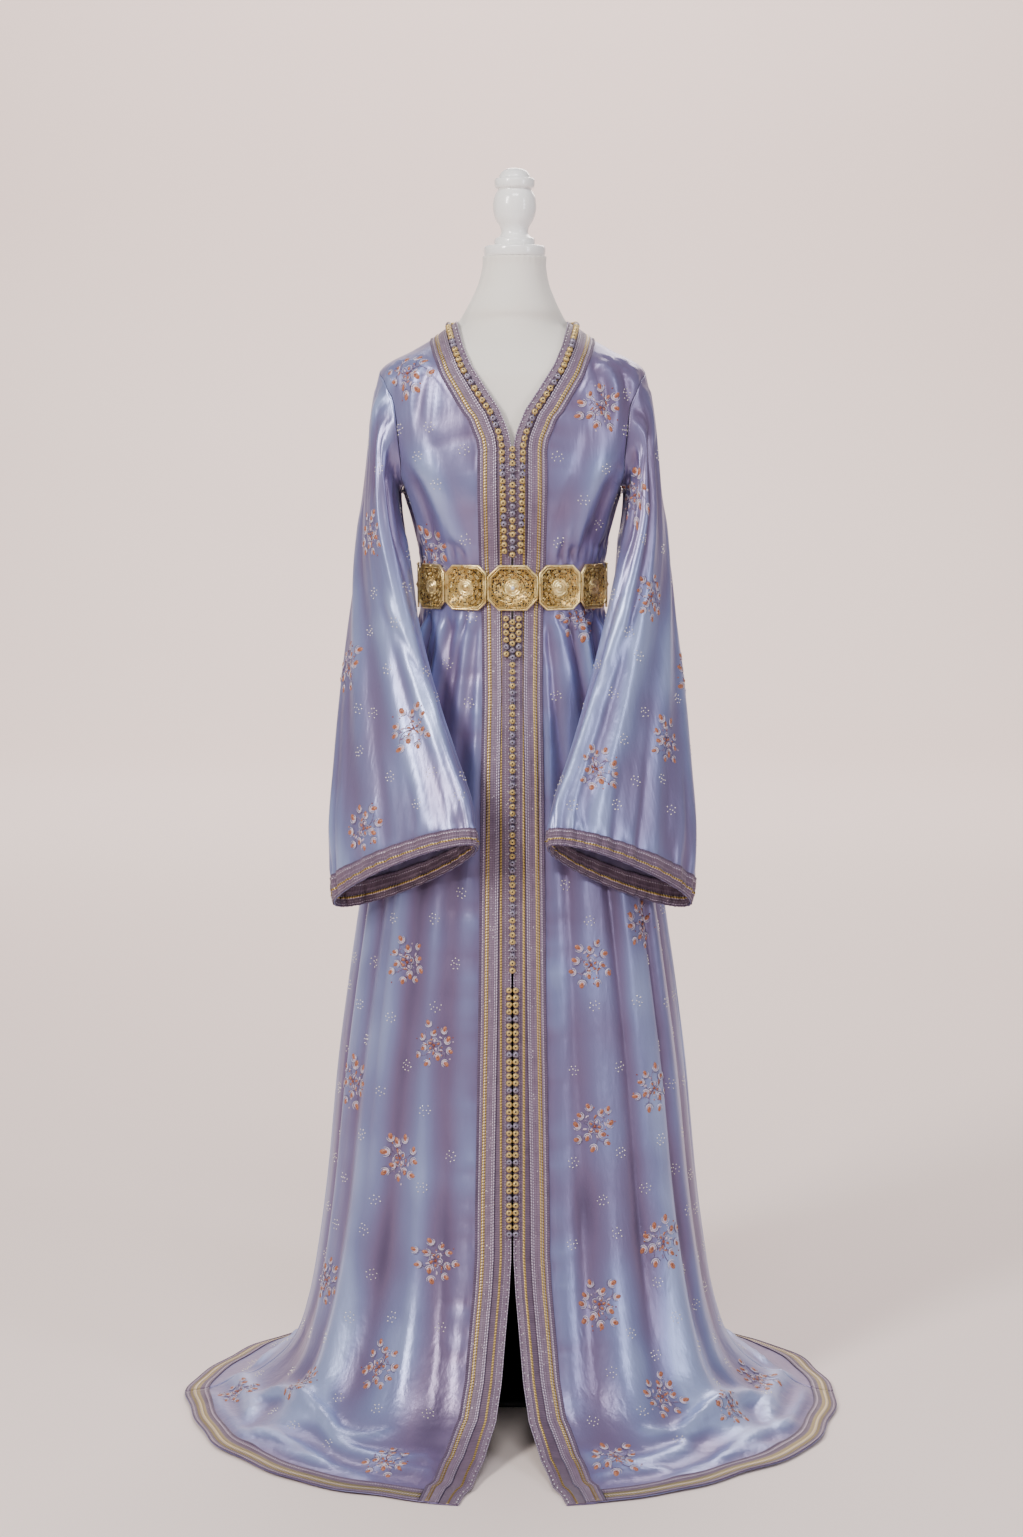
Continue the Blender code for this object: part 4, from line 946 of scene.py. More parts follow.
# %% Braid materials
def thread_bump(tree, shader, pitch, across, strength, depth, slanted=0.0):
    """Fine ribs across a strip: pitch is the thread spacing along it, in millimetres."""
    uv = add_node(tree, "UVMap").outputs["UV"]
    turned = add_node(tree, "Mapping", {"Vector": uv, "Scale": (1000.0 / pitch, 1000.0 / across, 1.0),
                                        "Rotation": (0.0, 0.0, slanted)})
    ribs = add_node(tree, "TexWave", {"Vector": turned.outputs["Vector"], "Scale": 0.16,
                                      "Distortion": 0.6, "Detail": 1.0}, wave_profile="SIN")
    bump = add_node(tree, "Bump", {"Height": ribs.outputs["Fac"], "Strength": strength, "Distance": depth})
    tree.links.new(bump.outputs["Normal"], shader.inputs["Normal"])
    return ribs.outputs["Fac"]


def braid_ground(name, dark, light, glint, glints, roughness):
    """Woven viscose ground with a little lurex: matt, with single threads that catch the light."""
    material, tree, shader = new_material(name, {"Roughness": roughness, "Sheen Weight": 0.25,
                                                 "Sheen Roughness": 0.4, "IOR": 1.5})
    ribs = thread_bump(tree, shader, 1.2, 2.5, 0.5, 0.0004)
    place = add_node(tree, "TexCoord").outputs["Object"]
    flecks = add_node(tree, "TexVoronoi", {"Vector": place, "Scale": 900.0})
    spark = add_node(tree, "MapRange", {"Value": flecks.outputs["Color"], "From Min": 1.0 - glints,
                                        "From Max": 1.02 - glints})
    wear = add_node(tree, "TexNoise", {"Vector": place, "Scale": 70.0, "Detail": 2.0})
    # The ground is darker between the ribs and lighter on them, painted shade in the grooves, times a random
    # change of tone.
    shade = add_node(tree, "Math", {0: ribs, 1: wear.outputs["Fac"]}, operation="MULTIPLY")
    ground = colour_ramp(tree, shade.outputs["Value"], [(0.1, dark), (0.55, light)])
    colour = blend_colours(tree, spark.outputs["Result"], ground, linear(glint))
    tree.links.new(colour, shader.inputs["Base Color"])
    metal = add_node(tree, "Math", {0: spark.outputs["Result"], 1: 0.8}, operation="MULTIPLY")
    tree.links.new(metal.outputs["Value"], shader.inputs["Metallic"])
    return material


def metal_thread(name, dark, light, roughness, metallic=0.8):
    """Plaited metal thread: a wrapped silk core, so it shines softly and shows its slanted wraps."""
    material, tree, shader = new_material(name, {"Roughness": roughness, "Metallic": metallic})
    wraps = thread_bump(tree, shader, 1.5, 4.0, 0.7, 0.0005, slanted=0.7)
    # Darker in the grooves between the wraps and lighter on their tops: painted shade and painted highlight.
    colour = colour_ramp(tree, wraps, [(0.15, dark), (0.75, light)])
    tree.links.new(colour, shader.inputs["Base Color"])
    return material


plum_braid = braid_ground("plum_viscose_braid", "#4d3c50", "#715d73", "#b09cb0", 0.04, 0.62)
lilac_lurex = braid_ground("lilac_lurex_braid", "#5f4d62", "#836f85", "#d8cbd4", 0.10, 0.52)
gold_plait = metal_thread("gold_thread_plait", "#6f5b32", "#b99e5e", 0.36, 0.7)
pale_cord = metal_thread("pale_silver_cord", "#776a80", "#b5a8ba", 0.42, 0.6)
dark_piping = braid_ground("dark_plum_piping", "#3f3048", "#665370", "#8d7a98", 0.02, 0.66)
# Darker and paler copies of the gold plait for the hem: the olive one is painted shade that tones down the hem
# where it faces the light, the pale one a painted highlight on the stripe's raised middle; both also follow the
# braid's own olive and pale tones.
olive_plait_shade = metal_thread("olive_gold_plait_painted_shade", "#5f5538", "#9c8d60", 0.44, 0.6)
gleam_plait_highlight = metal_thread("pale_gold_plait_painted_highlight", "#8d7e50", "#d3c492", 0.40, 0.6)
BRAID_MATERIALS = [plum_braid, lilac_lurex, gold_plait, pale_cord, dark_piping, olive_plait_shade, gleam_plait_highlight]
PLUM, LILAC, GOLD, PALE, PIPING, OLIVE_SHADE, GLEAM_HIGHLIGHT = range(7)
print("braid materials", [m.name for m in BRAID_MATERIALS])

# %% Cross-sections of the braid: share of the width, height in millimetres, material to the next
BRAID_SECTION = (
    (0.000, 0.10, PALE), (0.000, 0.90, PALE), (0.020, 1.25, PALE), (0.050, 1.25, PALE),
    (0.070, 0.90, PLUM), (0.120, 0.90, PALE), (0.135, 1.10, PALE), (0.155, 1.10, PALE),
    (0.170, 0.90, PLUM), (0.210, 0.90, LILAC), (0.300, 1.20, PLUM), (0.330, 0.90, LILAC),
    (0.460, 0.95, PLUM), (0.490, 0.90, GOLD), (0.505, 1.45, GOLD), (0.540, 1.75, GOLD),
    (0.570, 1.55, PALE), (0.585, 1.80, PALE), (0.600, 1.55, GOLD), (0.635, 1.75, GOLD),
    (0.670, 1.45, GOLD), (0.685, 0.90, PLUM), (0.710, 0.90, LILAC), (0.785, 0.90, PALE),
    (0.800, 1.20, PALE), (0.825, 1.20, PALE), (0.840, 0.90, PIPING), (0.895, 0.95, PIPING),
    (0.915, 1.45, PIPING), (0.950, 1.70, PIPING), (0.985, 1.45, PIPING), (1.000, 0.80, PIPING),
    (1.000, 0.10, PIPING),
)


# The hem's braid is a wider relative of the front's, with its gold in the middle. Its raised middle
# uses a paler copy of the gold, painted highlight, and its sides a darker olive copy, painted shade.
HEM_SECTION = (
    (0.000, 0.10, PIPING), (0.000, 0.80, PIPING), (0.020, 1.20, PIPING), (0.050, 1.20, PIPING),
    (0.070, 0.85, LILAC), (0.120, 0.90, PALE), (0.130, 1.15, PALE), (0.150, 1.15, PALE), (0.160, 0.90, PLUM),
    (0.290, 0.95, OLIVE_SHADE), (0.310, 1.30, OLIVE_SHADE), (0.370, 1.40, OLIVE_SHADE), (0.400, 1.25, PALE), (0.415, 1.55, GLEAM_HIGHLIGHT),
    (0.450, 1.80, GLEAM_HIGHLIGHT), (0.485, 1.60, PALE), (0.505, 1.25, OLIVE_SHADE), (0.580, 1.30, OLIVE_SHADE), (0.600, 0.90, PLUM),
    (0.730, 0.95, PALE), (0.742, 1.15, PALE), (0.760, 1.15, PALE), (0.772, 0.90, LILAC), (0.890, 0.95, PIPING),
    (0.910, 1.35, PIPING), (0.950, 1.60, PIPING), (0.985, 1.35, PIPING), (1.000, 0.80, PIPING),
    (1.000, 0.10, PIPING),
)

# The cuffs' braid is mostly ribbed plum, with one narrow gold line near its middle.
CUFF_SECTION = (
    (0.000, 0.10, PIPING), (0.000, 0.80, PIPING), (0.020, 1.20, PIPING), (0.050, 1.20, PIPING),
    (0.070, 0.85, LILAC), (0.125, 0.90, PALE), (0.133, 1.10, PALE), (0.150, 1.10, PALE), (0.160, 0.90, PLUM),
    (0.290, 0.90, LILAC), (0.310, 1.15, LILAC), (0.340, 1.15, PLUM), (0.360, 0.90, PLUM),
    (0.440, 0.95, PALE), (0.448, 1.20, PALE), (0.462, 1.30, GOLD), (0.480, 1.70, GOLD), (0.535, 1.70, GOLD),
    (0.552, 1.30, PALE), (0.566, 1.20, PALE), (0.575, 0.95, PLUM), (0.665, 0.90, LILAC), (0.690, 1.15, LILAC),
    (0.720, 1.15, PLUM), (0.740, 0.90, PLUM), (0.820, 0.95, PALE), (0.830, 1.10, PALE), (0.848, 1.10, PALE),
    (0.858, 0.90, LILAC), (0.905, 0.95, PIPING), (0.925, 1.35, PIPING), (0.955, 1.60, PIPING),
    (0.985, 1.35, PIPING), (1.000, 0.80, PIPING), (1.000, 0.10, PIPING),
)


UNDERSIDE = np.array([0.8, 0.6, 0.4, 0.2])[None, :]


def strip(name, cloth, rows, columns, heights, stripe_slots, node_names, shut=False, inward=False):
    """A strip laid on the cloth: rows and columns say where each point of its face lies."""
    heights = heights + 0 * rows
    under_rows = rows[:, :1] + (rows[:, -1:] - rows[:, :1]) * UNDERSIDE
    under_columns = columns[:, :1] + (columns[:, -1:] - columns[:, :1]) * UNDERSIDE
    under_heights = heights[:, :1] + (heights[:, -1:] - heights[:, :1]) * UNDERSIDE
    rows = np.concatenate([rows, under_rows], axis=1)
    columns = np.concatenate([columns, under_columns], axis=1)
    points = cloth.lay(rows, columns, np.concatenate([heights, under_heights], axis=1))
    face = heights.shape[1]
    middle = face // 2
    run = np.concatenate([[0.0], np.cumsum(np.linalg.norm(np.diff(points[:, middle], axis=0), axis=-1))])
    wide = np.concatenate([np.zeros((len(points), 1)),
                           np.cumsum(np.linalg.norm(np.diff(points, axis=1), axis=-1), axis=1)], axis=1)
    uvs = np.stack([run[:, None] + 0 * wide, wide], axis=-1)
    facing = np.cross(points[1, middle] - points[0, middle], points[0, face - 1] - points[0, 0])
    outside = unit(cloth.read(cloth.normals, rows, columns))[0, middle]
    flip = bool(facing @ outside < 0) != inward
    count_rows, count_columns = points.shape[:2]
    quads = grid_faces(count_rows, count_columns, True, flip)
    faces = [tuple(quad) for quad in (quads % ((count_rows - 1) * count_columns) if shut else quads)]
    ring_slots = list(stripe_slots) + [stripe_slots[-1]] * (count_columns - face + 1)
    slots = ring_slots * (count_rows - 1)
    if shut:
        points, uvs = points[:-1], uvs[:-1]
    else:
        ends = [tuple(range(count_columns)), tuple(range(len(faces) + count_columns - 1, len(faces) - 1, -1))]
        faces += [end[::-1] for end in ends] if flip else ends
        slots += [stripe_slots[-1]] * 2
    item = mesh_object(name, points, faces, BRAID_MATERIALS, uvs=uvs, slots=slots)
    if shut:
        layer = item.data.uv_layers[0].data
        for loop in item.data.loops[-4 * count_columns:]:
            if loop.vertex_index < count_columns:
                layer[loop.index].uv[0] = run[-1]
    if node_names:
        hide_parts(*node_names)
    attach(item, "root")
    return item


def section(entries):
    table = np.array([entry[:2] for entry in entries])
    return table[:, 0], table[:, 1] * MM, [entry[2] for entry in entries[:-1]]


SHARES, HEIGHTS, STRIPES = section(BRAID_SECTION)
HEM_SHARES, HEM_HEIGHTS, HEM_STRIPES = section(HEM_SECTION)
CUFF_SHARES, CUFF_HEIGHTS, CUFF_STRIPES = section(CUFF_SECTION)
BACK_OF_ARM = 270.0
FACING_LIFT = 1.7 * MM
BAND_LIFT = 1.3 * MM
bands = {}
for hand in ("right", "left"):
    cloth = FRONTS[hand]
    rows = np.arange(len(FRONT_PLACES), dtype=float)[:, None] + 0 * SHARES[None, :]
    columns = SHARES[None, :] * BAND_COLUMNS + 0 * rows
    bands["front_band_" + hand] = strip("braid_front_" + hand, cloth, rows, columns, BAND_LIFT + HEIGHTS,
                                        STRIPES, ["front_band_" + hand])
    last = cloth.points.shape[1] - 1.0
    start = np.append(np.arange(BAND_COLUMNS + 0.12, last - 0.5, 1.0), last)
    span = cloth.points.shape[0] - 1.0 - HEM_ROW
    rows = HEM_ROW + HEM_SHARES[None, :] * span + 0 * start[:, None]
    columns = start[:, None] + 0 * rows
    bands["hem_band_" + hand] = strip("braid_hem_" + hand, cloth, rows, columns, BAND_LIFT + HEM_HEIGHTS,
                                      HEM_STRIPES, ["hem_band_" + hand])
    sleeve = SLEEVES[hand]
    around = SLEEVE_COLUMNS_DENSE * BACK_OF_ARM / 360.0 + np.arange(SLEEVE_COLUMNS_DENSE + 1.0)
    span = sleeve.points.shape[0] - 1.0 - CUFF_ROW
    rows = CUFF_ROW + CUFF_SHARES[None, :] * span + 0 * around[:, None]
    columns = around[:, None] + 0 * rows
    bands["cuff_band_" + hand] = strip("braid_cuff_" + hand, sleeve, rows, columns, 0.5 * MM + CUFF_HEIGHTS,
                                       CUFF_STRIPES, ["cuff_band_" + hand], shut=True)
    bands["cuff_facing_" + hand] = strip("braid_cuff_facing_" + hand, sleeve, rows, columns,
                                         -FACING_LIFT - 0.6 * CUFF_HEIGHTS, CUFF_STRIPES, [], shut=True,
                                         inward=True)

back_start = np.arange(0.0, BACK_COLUMNS + 0.5, 1.0)
rows = SHARES[None, :] * BAND_COLUMNS + 0 * back_start[:, None]
columns = back_start[:, None] + 0 * rows
bands["back_neck_band"] = strip("braid_back_neck", BACK_CLOTH, rows, columns, BAND_LIFT + HEIGHTS,
                                STRIPES, ["back_neck_band"])
back_hem_row = len(BACK_LEVELS) - 1.0 - (len(FRONT_PLACES) - 1.0 - HEM_ROW)
rows = back_hem_row + HEM_SHARES[None, :] * (len(BACK_LEVELS) - 1.0 - back_hem_row) + 0 * back_start[:, None]
columns = back_start[:, None] + 0 * rows
bands["hem_band_back"] = strip("braid_hem_back", BACK_CLOTH, rows, columns, BAND_LIFT + HEM_HEIGHTS,
                               HEM_STRIPES, ["hem_band_back"])
print("bands", len(bands))

# %% [markdown]
# ## Small shapes that are collected into one mesh
# Beads, buttons, stitches and filigree are thousands of small shapes. Each is worked out as a
# few arrays and added to a collector, which makes one mesh of them all, with one material slot
# for each kind of thread or metal.

# %% A collector of small shapes
class Collector:
    def __init__(self, materials):
        self.materials = materials
        self.points = []
        self.faces = []
        self.slots = []
        self.count = 0

    def add(self, points, faces, slot):
        points = np.asarray(points).reshape(-1, 3)
        self.points.append(points)
        self.faces += [tuple(int(v) + self.count for v in face) for face in faces]
        self.slots += [slot] * len(faces) if np.isscalar(slot) else list(slot)
        self.count += len(points)

    def tube(self, path, radius, normals, slot, sides=5, closed=False):
        """A round wire along a path, thinner at its ends if radius holds one value a point."""
        path = np.asarray(path)
        if closed:
            ahead = np.roll(path, -1, axis=0) - np.roll(path, 1, axis=0)
        else:
            ahead = np.gradient(path, axis=0)
        ahead = unit(ahead)
        side = unit(np.cross(normals, ahead))
        up = np.cross(ahead, side)
        radius = np.broadcast_to(radius, (len(path),))[:, None, None]
        turns = 2 * math.pi * (np.arange(sides) + 0.5) / sides
        ring = side[:, None] * np.cos(turns)[:, None] + up[:, None] * np.sin(turns)[:, None]
        points = path[:, None] + ring * radius
        count = len(path)
        if closed:
            points = np.concatenate([points, points[:1]])
            faces = [tuple(face) for face in grid_faces(count + 1, sides, shut=True)]
            last = count * sides
            faces = [tuple(v - last if v >= last else v for v in face) for face in faces]
            points = points[:-1]
        else:
            faces = [tuple(face) for face in grid_faces(count, sides, shut=True)]
            faces += [tuple(range(sides)), tuple(range(count * sides - 1, (count - 1) * sides - 1, -1))]
        self.add(points, faces, slot)

    def make(self, name, slot_name, nodes=()):
        item = mesh_object(name, np.concatenate(self.points), self.faces, self.materials, slots=self.slots)
        if nodes:
            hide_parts(*nodes)
        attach(item, "root")
        return item


print("collector ready")

# %% [markdown]
# ## Knotted buttons
# Kaftan buttons are hand-knotted from metallic cord over a small core: round, about 8 mm across,
# with the cord's strands crossing over the ball and a small hollow at the crown. Here the
# ball is a globe of points whose radius swells along three slanting strands, and the crown
# dips; the faces of the dip take a dark material, painted shade in the hollow. One mesh is made
# for each string. Gold buttons alternate with small groups of silver ones.

# %% One knotted ball, and strings of them along the opening
BUTTON_RADIUS = 4.15 * MM
BUTTON_PITCH = 9.4 * MM
BELT_TOP = 1.143
BELT_BOTTOM = 1.083

gold_cord = metal_thread("gold_knot_cord", "#c3a86c", "#f6e8c0", 0.28, 0.42)
silver_cord = metal_thread("silver_lilac_knot_cord", "#8c8498", "#d6cfdc", 0.34, 0.5)
# A dark material for the dip at each knot's crown: painted shade in the hollow.
knot_hollow_shade = braid_ground("knot_hollow_painted_shade", "#2a1d22", "#4a3540", "#6a5560", 0.01, 0.8)


def knotted_ball(rings=9, spokes=14):
    polar = np.linspace(0.0, math.pi, rings + 1)[1:-1]
    turns = 2 * math.pi * np.arange(spokes) / spokes
    theta, phi = np.meshgrid(polar, turns, indexing="ij")
    strands = np.sin(3 * phi + 2.6 * theta) * np.sin(theta)
    dip = np.exp(-(theta / 0.42) ** 2)
    radius = 1.0 + 0.07 * strands - 0.20 * dip
    points = np.stack([radius * np.sin(theta) * np.cos(phi), radius * np.sin(theta) * np.sin(phi),
                       0.94 * radius * np.cos(theta)], axis=-1).reshape(-1, 3)
    crown = len(points)
    points = np.concatenate([points, [[0, 0, 0.60], [0, 0, -0.94]]])
    faces = [tuple(face) for face in grid_faces(rings - 1, spokes, shut=True)]
    faces += [(spoke, (spoke + 1) % spokes, crown) for spoke in range(spokes)]
    low = (rings - 2) * spokes
    faces += [(low + (spoke + 1) % spokes, low + spoke, crown + 1) for spoke in range(spokes)]
    body = (rings - 2) * spokes
    # The crown's fan of faces takes slot 1, the dark hollow material: painted shade in the dip.
    slots = [0] * body + [1] * spokes + [0] * spokes
    return points, faces, slots


BALL_POINTS, BALL_FACES, BALL_SLOTS = knotted_ball()


def resampled(line, spacing):
    line = np.asarray(line)
    steps = np.linalg.norm(np.diff(line, axis=0), axis=-1)
    walked = np.concatenate([[0.0], np.cumsum(steps)])
    wanted = np.arange(0.0, walked[-1] + 1e-9, spacing)
    return np.stack([np.interp(wanted, walked, line[:, axis]) for axis in range(3)], axis=-1)


def button_string(name, line, outs, pattern, seed):
    """Knotted balls along a line; pattern is how many gold and how many silver ones follow."""
    draw = random.Random(seed)
    halves = resampled(line, BUTTON_PITCH / 2)
    count = len(halves) - 1 if len(halves) % 2 == 0 else len(halves)
    centres = halves[1:count:2]
    steps = np.linalg.norm(np.diff(np.asarray(line), axis=0), axis=-1)
    walked = np.concatenate([[0.0], np.cumsum(steps)])
    wanted = (np.arange(len(centres)) * 2 + 1) * BUTTON_PITCH / 2
    facing = unit(np.stack([np.interp(wanted, walked, np.asarray(outs)[:, axis]) for axis in range(3)], -1))
    along = unit(np.gradient(centres, axis=0))
    string = Collector([gold_cord, knot_hollow_shade, silver_cord])
    golds, silvers = pattern
    for number, centre in enumerate(centres):
        out = facing[number]
        side = unit(np.cross(out, along[number]))
        way = np.cross(side, out)
        spin = draw.uniform(0.0, 2 * math.pi)
        size = BUTTON_RADIUS * draw.uniform(0.96, 1.03)
        flat = np.stack([side, way * 0.97])
        turned = np.array([[math.cos(spin), math.sin(spin)], [-math.sin(spin), math.cos(spin)]])
        frame_axes = np.concatenate([turned @ flat, out[None] * 1.04])
        silver = number % (golds + silvers) >= golds
        slots = [2 if silver and slot == 0 else slot for slot in BALL_SLOTS]
        string.add(centre + BALL_POINTS @ frame_axes * size, BALL_FACES, slots)
    cord = np.stack([centres[0], *centres[1:]])
    string.tube(cord - facing * BUTTON_RADIUS * 0.35, 0.9 * MM, facing, 2, sides=5)
    item = string.make("knots_" + name, "button", ["buttons_" + name])
    return item, len(centres)


def opening_line(hand, heights, widths, lift):
    """Points and outward directions beside the opening, at distances from the middle plane."""
    levels = level_of(np.asarray(heights))
    side = -1.0 if hand == "left" else 1.0
    angles = side * angle_at(np.asarray(widths), levels)
    outs = outward(angles, levels)
    return plain_points(angles, levels) + outs * lift, outs


def neck_line(hand):
    side = -1.0 if hand == "left" else 1.0
    neck_lift = BUTTON_RADIUS + 1.2 * SEAM
    low_lift = BUTTON_RADIUS * 0.71 + 2.5 * SEAM
    level = float(neck_levels(11.0 * MM))
    angles = np.arange(176.0, 88.0, -4.0)
    outs = outward(side * angles, np.full(len(angles), level))
    points = plain_points(side * angles, np.full(len(angles), level)) + outs * neck_lift
    places = np.arange(0.25, 11.0, 0.125)
    rows = front_rows(places)
    kept = rows[:, 0] <= level_of(BELT_TOP + 8 * MM)
    places, rows = places[kept], rows[kept]
    below = np.clip((1.300 - height_of(rows[:, 0])) / 0.15, 0.0, 1.0)
    widths = 11.5 * MM + 0.5 * MM * np.minimum(places, 2.0) - 4.0 * MM * below
    line_angles, line_levels = across_addresses(rows, widths[:, None])
    line_angles, line_levels = side * line_angles[:, 0], line_levels[:, 0]
    lifts = neck_lift + (low_lift - neck_lift) * np.minimum(places / 2.0, 1.0)
    line_outs = outward(line_angles, line_levels)
    line = plain_points(line_angles, line_levels) + line_outs * lifts[:, None]
    return np.concatenate([points, line]), np.concatenate([outs, line_outs])


knots = 0
LOW_LIFT = BUTTON_RADIUS * 0.71 + 2.5 * SEAM
for hand in ("left", "right"):
    line, outs = neck_line(hand)
    knots += button_string("neck_" + hand, line, outs, (5, 2), 7 if hand == "left" else 8)[1]
    for stem, top, bottom, wide_top, wide_bottom in (
            ("waist_", BELT_BOTTOM - 6 * MM, 1.018, 8.5 * MM, 8.0 * MM),
            ("skirt_", 0.590, 0.262, 4.3 * MM, 4.3 * MM)):
        heights = np.linspace(top, bottom, 60)
        line, outs = opening_line(hand, heights, np.linspace(wide_top, wide_bottom, 60), LOW_LIFT)
        knots += button_string(stem + hand, line, outs, (4, 1), 9)[1]
for name, top, bottom in (("middle_top", 1.300, BELT_TOP + 8 * MM),
                          ("middle", BELT_BOTTOM - 6 * MM - BUTTON_PITCH / 2, 0.602)):
    line, outs = opening_line("right", np.linspace(top, bottom, 90), np.zeros(90), LOW_LIFT)
    knots += button_string(name, line, outs, (3, 2) if name == "middle_top" else (4, 2), 10)[1]
print("knotted buttons", knots)

# %% [markdown]
# ## The belt
# The belt is a row of cast brass plates, gilt, hinged edge to edge. Each has a plain raised rim, a
# ground pierced with scrolls, rows of small beads, and a domed boss in the middle; the middle
# plate carries a small clear stone. The scrolls are real wire spirals over a dark ground, because
# the holes are too many to cut one by one. The ground is a flat plate whose material paints
# dark cells between gilt webs, and it reads as the shade behind them.

# %% Gilt metal, its shaded ground and the stone
def cast_gilt(name, light, dark, roughness):
    """Gilt brass: a polished metal, so nearly all its look is reflection; hollows stay darker."""
    material, tree, shader = new_material(name, {"Metallic": 0.88, "Roughness": roughness})
    place = add_node(tree, "TexCoord").outputs["Object"]
    tarnish = add_node(tree, "TexNoise", {"Vector": place, "Scale": 160.0, "Detail": 3.0})
    colour = colour_ramp(tree, tarnish.outputs["Fac"], [(0.35, dark), (0.6, light)])
    tree.links.new(colour, shader.inputs["Base Color"])
    rough = add_node(tree, "MapRange", {"Value": tarnish.outputs["Fac"], "To Min": roughness - 0.08,
                                        "To Max": roughness + 0.14})
    tree.links.new(rough.outputs["Result"], shader.inputs["Roughness"])
    grit = add_node(tree, "TexNoise", {"Vector": place, "Scale": 900.0})
    bump = add_node(tree, "Bump", {"Height": grit.outputs["Fac"], "Strength": 0.15, "Distance": 0.0004})
    tree.links.new(bump.outputs["Normal"], shader.inputs["Normal"])
    return material


def pierced_gilt(name, metal, hole_shade, pitch, roughness):
    """Gilt ground with small piercings, one about every pitch millimetres: the piercings are painted dark
    cells, painted shade behind them, on a darker gilt, painted shade in the recess.
    """
    material, tree, shader = new_material(name, {"Roughness": roughness})
    place = add_node(tree, "TexCoord").outputs["Object"]
    cells = add_node(tree, "TexVoronoi", {"Vector": place, "Scale": 1000.0 / pitch, "Randomness": 0.7})
    colour = colour_ramp(tree, cells.outputs["Distance"], [(0.38, hole_shade), (0.45, metal)])
    tree.links.new(colour, shader.inputs["Base Color"])
    solid = add_node(tree, "MapRange", {"Value": cells.outputs["Distance"], "From Min": 0.38, "From Max": 0.45,
                                        "To Max": 0.85})
    tree.links.new(solid.outputs["Result"], shader.inputs["Metallic"])
    return material


gilt_brass = cast_gilt("gilt_cast_brass", "#f3dd9c", "#d8b670", 0.27)
# The ground's gilt is darker than the wire's and its cells near black: painted shade in the recess and behind
# the piercings.
gilt_ground_shade = pierced_gilt("gilt_pierced_ground_painted_shade", "#c2a05c", "#2b200c", 3.3, 0.38)
stone_glass, _, _ = new_material("clear_paste_stone", {"Roughness": 0.04, "IOR": 1.6,
                                            "Base Color": linear("#dfe6ee"), "Coat Weight": 0.5})


# %% One plate, in its own plane: across, up and out
def plate_frame(node):
    """Middle, outward and sideways directions, and half width, read from the solid."""
    points = np.array([vertex.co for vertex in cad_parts[node].data.vertices])
    flat = points[:, :2] - points[:, :2].mean(axis=0)
    values, ways = np.linalg.eigh(flat.T @ flat)
    out = np.append(ways[:, 0], 0.0)
    if out @ points.mean(axis=0) < 0:
        out = -out
    beside = np.array([-out[1], out[0], 0.0])
    depths = points @ out
    across = points @ beside
    middle = beside * (across.min() + across.max()) / 2 + out * depths.min()
    middle[2] = (points[:, 2].min() + points[:, 2].max()) / 2
    return middle, out, beside, (across.max() - across.min()) / 2


def octagon(half_width, half_height, inset, corner):
    a, h = half_width - inset, half_height - inset
    cut = corner * 2 * half_height - inset * 0.586
    return np.array([(a - cut, -h), (a, -h + cut), (a, h - cut), (a - cut, h),
                     (-a + cut, h), (-a, h - cut), (-a, -h + cut), (-a + cut, -h)])


def ring_path(radius, count, squeeze=1.0):
    turns = 2 * math.pi * np.arange(count) / count
    return np.stack([radius * squeeze * np.cos(turns), radius * np.sin(turns)], axis=-1)


def spiral(start, end_radius, turns, hand, heading, count=22):
    """A scroll that leaves its start point and winds up to a small eye."""
    share = np.linspace(0.0, 1.0, count)
    radius = end_radius * (1.0 - 0.80 * share)
    angle = heading + hand * turns * 2 * math.pi * share
    eye = np.asarray(start) - end_radius * np.array([math.cos(heading), math.sin(heading)])
    return eye + np.stack([radius * np.cos(angle), radius * np.sin(angle)], axis=-1)


